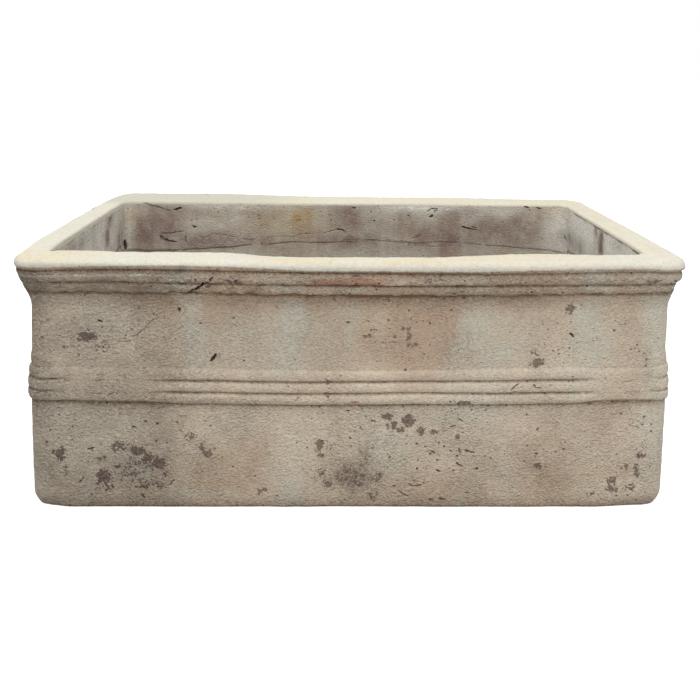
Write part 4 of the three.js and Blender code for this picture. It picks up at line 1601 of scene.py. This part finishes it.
class TROUGH_OT_rim(bpy.types.Operator):
    """Builds the rim: lip, beads and the inner face down to the seam"""

    bl_idname = "trough.rim"
    bl_label = "Rim"

    def execute(self, context):
        sizes = form()
        ring, inset, height, role = laid_round(rim_section())
        level = level_points(ring, inset, 0.3)
        x, y = level[..., 0], level[..., 1]
        depth = HEIGHT - height

        shifts = bead_shifts(x[0])
        worn_depth = shifted_depth(depth, shifts)
        corner = ring.cornering(0.035)
        crispness = 1 - corner * (0.55 - 0.3 * ring.reach_x) + 0.3 * layered_noise(level, 0.05, 201, 3)
        dive = 0.0035 * ease(sizes.mouldings_height + 0.0008, sizes.mouldings_height + 0.0035, depth)
        reach = cavetto(worn_depth) + crispness * bead_relief(depth, x) - dive
        inset = np.where(role == MOULDED, OVERHANG - reach, inset)
        height = np.where((role == MOULDED) | (role == LIP), HEIGHT - worn_depth, height)
        inset += np.where(role == LIP, 0.0012 * layered_noise(level, 0.1, 221, 3) * ease(0.02, 0, inset), 0)
        right_corner = corner * (ring.reach_x > 0)
        inset -= (role == LIP) * 0.0016 * right_corner * bump(0.0135, 0.004, depth)
        inset += (role == MOULDED) * 0.0024 * right_corner * bump(0.037, 0.008, depth)

        toward_inner = ease(0.022, 0.04, inset) * ((role == LIP) | (role == INSIDE)) * ease(0.03, 0, depth)
        front = ring.on_front()
        worn = front * ease(-0.17, -0.06, x) * ease(0.22, 0.08, x)
        full = front * ease(0.27, 0.33, -x)
        low_right = front * ease(0.24, 0.3, x)
        inset -= toward_inner * (0.0085 * worn - 0.0015 * full + 0.003 * low_right)
        height -= toward_inner * (0.0028 * worn - 0.0006 * full + 0.0011 * low_right)
        roll = (role == INSIDE) & (x > 0) & (np.abs(y) < INNER_BACK_PLANE - BACK_CORNER) & (y < 0.13)
        inset += roll * 0.0012 * ease(0.006, 0.0045, depth)
        inset += np.where(role == INSIDE, 0.0013 * layered_noise(level, 0.12, 231, 3), 0)

        on_back = y > INNER_BACK_PLANE - 0.02
        arch = np.where(on_back, 0.0085 - 0.019 * ((x - 0.05) / 0.32) ** 2, 0)
        seam = np.clip(arch, -0.012, 0.009) + 0.0022 * layered_noise(level, 0.07, 241, 3)
        height += np.where(role == INSIDE, seam * (depth / (HEIGHT - SEAM_HEIGHT)) ** 2, 0)

        seam_share = np.where(role == INSIDE, depth / (HEIGHT - SEAM_HEIGHT), 0)
        inset -= (on_back & (role == INSIDE)) * 0.0011 * ease(0.06, 0.16, x) * ease(0.5, 1.0, seam_share)
        mesh = grid_mesh("rim", ring, inset, height, {
            "inside": role == INSIDE, "moulded": role == MOULDED, "depth": depth, "inset": inset,
            "seam": seam_share, "worn_depth": worn_depth})
        marks = refine_near_marks(mesh)
        moulded = layer_values(mesh, "moulded")
        torn = moulded * bump(-0.17, 0.1, coordinates(mesh)[:, 0])
        points = finish_surface(mesh, marks, 0.0004, 0.0003 + 0.0008 * moulded + 0.0006 * torn)
        depth = layer_values(mesh, "depth")
        coarse = np.minimum(layer_values(mesh, "coarse"), 1 + 2 * moulded)
        set_layer(mesh, "coarse", coarse + 0.45 * moulded + 0.25 * torn)
        add_layer(mesh, "dry", moulded * (0.35 - 0.25 * ease(0.05, 0.12, points[:, 0])))
        inside, inset = layer_values(mesh, "inside"), layer_values(mesh, "inset")
        x, y, _z = points.T
        lime_end = HEIGHT - traced_height("lime_edge", x)
        lime_share = layer_values(mesh, "worn_depth") / lime_end
        # Lime along the tops of the two beads on the left: partly rubbed lime, partly painted highlight;
        # elsewhere the beads keep a trace of lime
        rubbed_lime_and_highlight = 0.8 * bump(0.0208, 0.0022, depth) * ease(-0.12, -0.22, x)
        rubbed_lime_and_highlight += 0.5 * bump(0.0322, 0.0018, depth) * ease(-0.2, -0.3, x)
        on_beads = 0.1 * moulded + 0.5 * rubbed_lime_and_highlight * moulded
        outer_lime = np.maximum(ease(1.28, 0.72, lime_share) * (1 - moulded), on_beads)
        crack_side = (x > 0) & (np.abs(y) < INNER_BACK_PLANE - BACK_CORNER)
        on_left = (x < -0.33) & (y < INNER_BACK_PLANE - BACK_CORNER)
        inner_lime = np.where(on_left, ease(0.0145, 0.0, depth), ease(0.0085, -0.001, depth))
        inner_lime = np.where(crack_side, ease(0.006, 0.003, depth), inner_lime)
        set_layer(mesh, "lime", np.where(inside > 0.5, inner_lime, outer_lime))
        strengths = list(LIP_YELLOWING.values())
        columns = [on_plane(column, 260, -HALF_DEPTH + 0.01).x for column, _strength in strengths]
        yellow = np.interp(x, columns, [strength for _column, strength in strengths])
        yellow *= 1 - 0.95 * ease(0.25, 0.5, lime_share)
        other_sides = 0.3 + 0.35 * ease(-0.35, -0.2, x)
        set_layer(mesh, "yellow", np.where(y < -HALF_DEPTH + RIM_WIDTH, yellow, other_sides))
        set_layer(mesh, "dull", 0.75 * ease(0.14, 0.19, y) * ease(-0.02, -0.2, x))
        groove = sizes.lip_height + sizes.upper_bead_height
        middle = 0.3 + 0.7 * bump(0.04, 0.24, x)
        fresh = ease(0.05, 0.25, x)
        # Dirt and painted shade in the lip groove, the bead groove and the crease at the beads' foot
        grooves = (0.35 - 0.2 * fresh) * bump(sizes.lip_height, 0.002, depth)
        grooves += (0.25 + 0.35 * middle) * bump(groove, 0.0015, depth)
        grooves += 0.7 * bump(sizes.mouldings_height + 0.0005, 0.002, depth)
        # Dirt and painted shade under the lip and the upper bead, where they overhang, densest in the middle
        soft_dirt_and_shade = bead_dirt_and_shade(depth - sizes.lip_height, 0.65 * middle)
        soft_dirt_and_shade = np.maximum(soft_dirt_and_shade, bead_dirt_and_shade(depth - groove, 0.5 * middle))
        soft_dirt_and_shade += 0.15 * moulded * (1 - middle) * ease(0.1, -0.25, x)
        # Painted shade on the lower half of the lip's nose and under the lime's edge, where less light falls
        nose_shade = 0.15 * ease(0.35, 1.0, lime_share) + (0.24 - 0.2 * fresh) * ease(0.95, 1.2, lime_share)
        nose_shade += 0.17 * ease(0.3, 0.7, lime_share) * ease(-0.24, -0.31, x)
        soft_dirt_and_shade += nose_shade * (1 - moulded)
        dashes = ease(-0.5, 0.4, layered_noise(points, 0.02, 251, 2))
        under_edge = inside * crack_side * dashes * bump(0.0062, 0.0009, depth) * ease(0.15, 0.11, y)
        at_seam = inside * ease(0.94, 1.0, layer_values(mesh, "seam"))
        outer = (grooves + soft_dirt_and_shade) * (1 - inside)
        set_layer(mesh, "grime_and_shade", outer + 1.1 * under_edge + (0.05 + 0.5 * ease(0.0, -0.15, x)) * at_seam)
        set_layer(mesh, "runs", (0.45 * ease(0.3, 0.345, np.abs(x)) + 0.2) * inside)
        clay = washed_clay("limed_terracotta", limed=True)
        new_piece("trough_rim", mesh, clay, side_nodes("rim"))
        return {"FINISHED"}


class TROUGH_OT_band(bpy.types.Operator):
    """Builds the waist band with its reeds"""

    bl_idname = "trough.band"
    bl_label = "Waist band"

    def execute(self, context):
        sizes = form()
        ring, inset, height, role = laid_round(band_section())
        level = level_points(ring, inset, 0.15)
        smeared = smear(level)
        share = np.clip((BAND_TOP - height) / (BAND_TOP - BAND_BOTTOM), 0, 1)
        reed = share * REED_COUNT
        from_groove = np.abs(reed - np.round(reed))
        between = (np.round(reed) > 0) & (np.round(reed) < REED_COUNT)
        groove = bump(0, 0.09, from_groove) * between
        swell = sizes.reed_swell * (1 - np.abs((reed % 1) * 2 - 0.9) ** 2.2)
        top_edge = ease(0, 0.07 + 0.1 * smeared, share)
        low_edge = ease(0, 0.03 + 0.09 * smeared, 1 - share)
        corner = ring.cornering(0.04)
        uneven = 1 + 0.3 * layered_noise(level, 0.06, 301, 2)
        crispness = (1 - smeared) * (1 - 0.6 * corner)
        slack = 1 - 0.55 * (ring.reach_x > 0) * corner
        bulge = 0.0022 * (1 - crispness) * (1 - (share * 2 - 1) ** 2) * slack
        reach = sizes.band_reach + bulge + crispness * (swell - sizes.groove_depth * groove * uneven)
        reach = (reach + 0.0015) * top_edge * low_edge - 0.0015
        inset = np.where(role == OUTSIDE, OVERHANG - reach, inset)

        names = ("band_top", "upper_groove", "lower_groove", "low_line")
        levels = [traced_height(name, level[0, :, 0]) for name in names]
        part = np.clip(np.floor(reed), 0, REED_COUNT - 1)
        upper = np.choose(part.astype(int), levels[:-1])
        lower = np.choose(part.astype(int), levels[1:])
        height = np.where(role == OUTSIDE, upper + (lower - upper) * (reed - part), height)
        height += 0.0006 * layered_noise(level, 0.05, 311, 3)
        mesh = grid_mesh("band", ring, inset, height, {
            "groove": groove * (1 - 0.9 * smeared), "share": share, "sharp": 1 - smeared})
        marks = refine_near_marks(mesh)
        finish_surface(mesh, marks, 0.0004)
        share = layer_values(mesh, "share")
        # Dirt and painted shade in the grooves, and a painted shadow along the band's lower edge
        low_line = 0.85 * ease(0.955, 1.0, share) + 0.25 * ease(0.8, 1.0, share)
        set_layer(mesh, "grime_and_shade", 0.8 * layer_values(mesh, "groove") + low_line)
        clay = washed_clay("banded_terracotta", banded=True)
        new_piece("trough_band", mesh, clay, side_nodes("band"))
        return {"FINISHED"}


class TROUGH_OT_floor_slab(bpy.types.Operator):
    """Builds the floor slab with its drain holes"""

    bl_idname = "trough.floor_slab"
    bl_label = "Floor slab"

    drain_hole_radius: FloatProperty(
        name="Drain hole radius", description="Radius of each drain hole", default=0.014, unit="LENGTH")
    drain_spacing: FloatProperty(
        name="Drain spacing", description="Distance between drain holes", default=0.24, unit="LENGTH")

    def execute(self, context):
        hole = self.drain_hole_radius
        half_x = HALF_LENGTH - RIM_WIDTH
        half_y = HALF_DEPTH - RIM_WIDTH
        step = 0.006
        outline = []
        radius = 0.012
        for corner_x, corner_y, first in ((1, -1, -90), (1, 1, 0), (-1, 1, 90), (-1, -1, 180)):
            for turn in np.radians(first + np.linspace(0, 90, 6)):
                outline.append((corner_x * (half_x - radius) + radius * math.cos(turn),
                                corner_y * (half_y - radius) + radius * math.sin(turn)))
        loops = [outline]
        centres = [(number * self.drain_spacing, 0.0) for number in (-1, 0, 1)]
        edge = 0.003
        for centre_x, centre_y in centres:
            for reach in (hole, hole + edge * 0.4, hole + edge):
                loops.append([(centre_x + reach * math.cos(turn), centre_y + reach * math.sin(turn))
                              for turn in np.radians(np.arange(0, 360, 7.5))])
        places, edges = [], []
        for loop in loops:
            base = len(places)
            places += loop
            edges += [(base + number, base + (number + 1) % len(loop)) for number in range(len(loop))]
        across = np.arange(-half_x + step, half_x, step)
        deep = np.arange(-half_y + step, half_y, step)
        grid = np.stack(np.meshgrid(across, deep), axis=-1).reshape(-1, 2)
        for centre in centres:
            clear = np.linalg.norm(grid - np.array(centre), axis=1) > hole + edge + step / 2
            grid = grid[clear]
        places += [tuple(place) for place in grid]
        found = delaunay_2d_cdt([Vector(place) for place in places], edges, [], 1, 1e-5)
        flat, faces = np.array([tuple(vertex) for vertex in found[0]]), found[2]
        middles = np.array([flat[face].mean(axis=0) for face in faces])
        solid = np.ones(len(faces), bool)
        for centre in centres:
            solid &= np.linalg.norm(middles - np.array(centre), axis=1) > hole
        faces = [tuple(face) for face, keep in zip(faces, solid) if keep]

        nearest = np.min([np.linalg.norm(flat - np.array(centre), axis=1) for centre in centres], axis=0)
        rounding = edge * (1 - np.sqrt(np.clip(1 - ((hole + edge - nearest) / edge) ** 2, 0, 1)))
        rounding = np.where(nearest < hole + edge, rounding, 0)
        rounding = np.minimum(rounding, edge)
        upper = np.column_stack([flat, FLOOR_TOP - rounding])
        lower = np.column_stack([flat, 0.0008 + rounding])
        count = len(flat)
        all_faces = faces + [tuple(count + index for index in reversed(face)) for face in faces]
        sides = {}
        for face in faces:
            for start, end in zip(face, face[1:] + face[:1]):
                if (end, start) in sides:
                    del sides[(end, start)]
                else:
                    sides[(start, end)] = True
        all_faces += [(end, start, count + start, count + end) for start, end in sides]
        mesh = bpy.data.meshes.new("floor_slab")
        mesh.from_pydata(np.vstack([upper, lower]).tolist(), [], all_faces)
        mesh.update()
        points = coordinates(mesh)
        points[:, 2] += 0.0008 * layered_noise(points, 0.05, 401, 3) * (points[:, 2] > FLOOR_TOP / 2)
        mesh.vertices.foreach_set("co", settle(points).astype(np.float32).ravel())
        nearest = np.concatenate([nearest, nearest])
        edges_near = np.maximum(ease(half_x - 0.05, half_x, np.abs(points[:, 0])),
                                ease(half_y - 0.05, half_y, np.abs(points[:, 1])))
        # Darker round the drain holes and towards the walls
        set_layer(mesh, "grime_and_shade", 0.6 * ease(0.04, hole, nearest) + 0.5 * edges_near)
        mesh.shade_smooth()
        mesh.update()
        new_piece("trough_floor", mesh, bare_clay("bare_terracotta"), ["floor_slab"])
        return {"FINISHED"}


class TROUGH_OT_stage(bpy.types.Operator):
    """Builds the floor, the lights and the camera"""

    bl_idname = "trough.stage"
    bl_label = "Stage"

    def execute(self, context):
        view = stage()
        scene = context.scene
        scene.view_settings.view_transform = "Standard"

        mesh = bpy.data.meshes.new("ground")
        size = 14.0
        corners = [(-size, -size, 0), (size, -size, 0), (size, size, 0), (-size, size, 0)]
        mesh.from_pydata(corners, [], [(0, 1, 2, 3)])
        ground = bpy.data.objects.new("ground", mesh)
        scene.collection.objects.link(ground)
        material, tree, shader = new_material("ground", 1.0, 0.0)
        shader.inputs["Emission Strength"].default_value = view.floor_glow
        seen = seen_itself(tree)
        tint = blend(tree, seen, view.bounce_tint, view.floor_tint)
        put(tree, shader.inputs["Base Color"], tint)
        put(tree, shader.inputs["Emission Color"], blend(tree, seen, BLACK, WHITE))
        mesh.materials.append(material)

        world = bpy.data.worlds.new("sky")
        world.use_nodes = True
        scene.world = world
        tree = world.node_tree
        background = tree.nodes["Background"]
        grey = view.sky_strength
        sky = blend(tree, seen_itself(tree), (grey, grey, grey * 1.02), WHITE)
        put(tree, background.inputs["Color"], sky)

        for name, place, target, width, power in (
                ("sky_panel", (0.1, -0.5, 2.6), (0, 0, 0.2), 2.6, view.sky_panel_power),
                ("front_panel", (0.0, -2.15, 2.2), (0, -0.1, 0.2), 1.6, view.front_panel_power),
                ("back_panel", (-0.5, 2.2, 2.3), (0, 0.1, 0.2), 2.0, view.back_panel_power),
                ("left_panel", (-1.5, 0.0, 2.1), (0, 0, 0.25), 1.2, view.left_panel_power),
                ("right_panel", (1.5, 0.0, 2.1), (0, 0, 0.25), 1.2, view.right_panel_power)):
            data = bpy.data.lights.new(name, "AREA")
            data.shape = "SQUARE"
            data.size = width
            data.energy = power
            data.color = (1.0, 0.99, 0.97)
            lamp = bpy.data.objects.new(name, data)
            lamp.location = place
            lamp.rotation_mode = "QUATERNION"
            lamp.rotation_quaternion = (Vector(target) - Vector(place)).to_track_quat("-Z", "Y")
            scene.collection.objects.link(lamp)

        right, up, forward = camera_axes()
        data = bpy.data.cameras.new("camera")
        data.sensor_width = 36.0
        data.lens = view.focal_pixels / PHOTO_SIZE * data.sensor_width
        data.shift_y = (view.horizon_row - PHOTO_SIZE / 2) / PHOTO_SIZE
        camera = bpy.data.objects.new("camera", data)
        camera.matrix_world = Matrix.Translation(Vector(view.camera_place)) @ Matrix((
            (right.x, up.x, -forward.x, 0),
            (right.y, up.y, -forward.y, 0),
            (right.z, up.z, -forward.z, 0),
            (0, 0, 0, 1)))
        scene.collection.objects.link(camera)
        scene.camera = camera
        return {"FINISHED"}


class TROUGH_PT_panel(bpy.types.Panel):
    """Lists the trough's settings and steps"""

    bl_label = "Terracotta Trough"
    bl_space_type = "VIEW_3D"
    bl_region_type = "UI"
    bl_category = "Trough"

    def draw(self, context):
        for settings in (context.scene.trough_form, context.scene.trough_finish, context.scene.trough_stage):
            box = self.layout.box()
            for label in settings.__annotations__:
                box.prop(settings, label)
        for step in STEPS:
            self.layout.operator(step.bl_idname)


SETTINGS = (
    ("trough_form", TroughForm),
    ("trough_finish", TroughFinish),
    ("trough_stage", TroughStage),
)
STEPS = (
    TROUGH_OT_stage,
    TROUGH_OT_finishes,
    TROUGH_OT_walls,
    TROUGH_OT_rim,
    TROUGH_OT_band,
    TROUGH_OT_floor_slab,
)


def register():
    for label, settings in SETTINGS:
        bpy.utils.register_class(settings)
        setattr(bpy.types.Scene, label, PointerProperty(type=settings))
    for step in STEPS:
        bpy.utils.register_class(step)
    bpy.utils.register_class(TROUGH_PT_panel)


def unregister():
    bpy.utils.unregister_class(TROUGH_PT_panel)
    for step in reversed(STEPS):
        bpy.utils.unregister_class(step)
    for label, settings in reversed(SETTINGS):
        delattr(bpy.types.Scene, label)
        bpy.utils.unregister_class(settings)


def main():
    register()
    for step in STEPS:
        group, name = step.bl_idname.split(".")
        getattr(getattr(bpy.ops, group), name)()


if __name__ == "__main__":
    main()
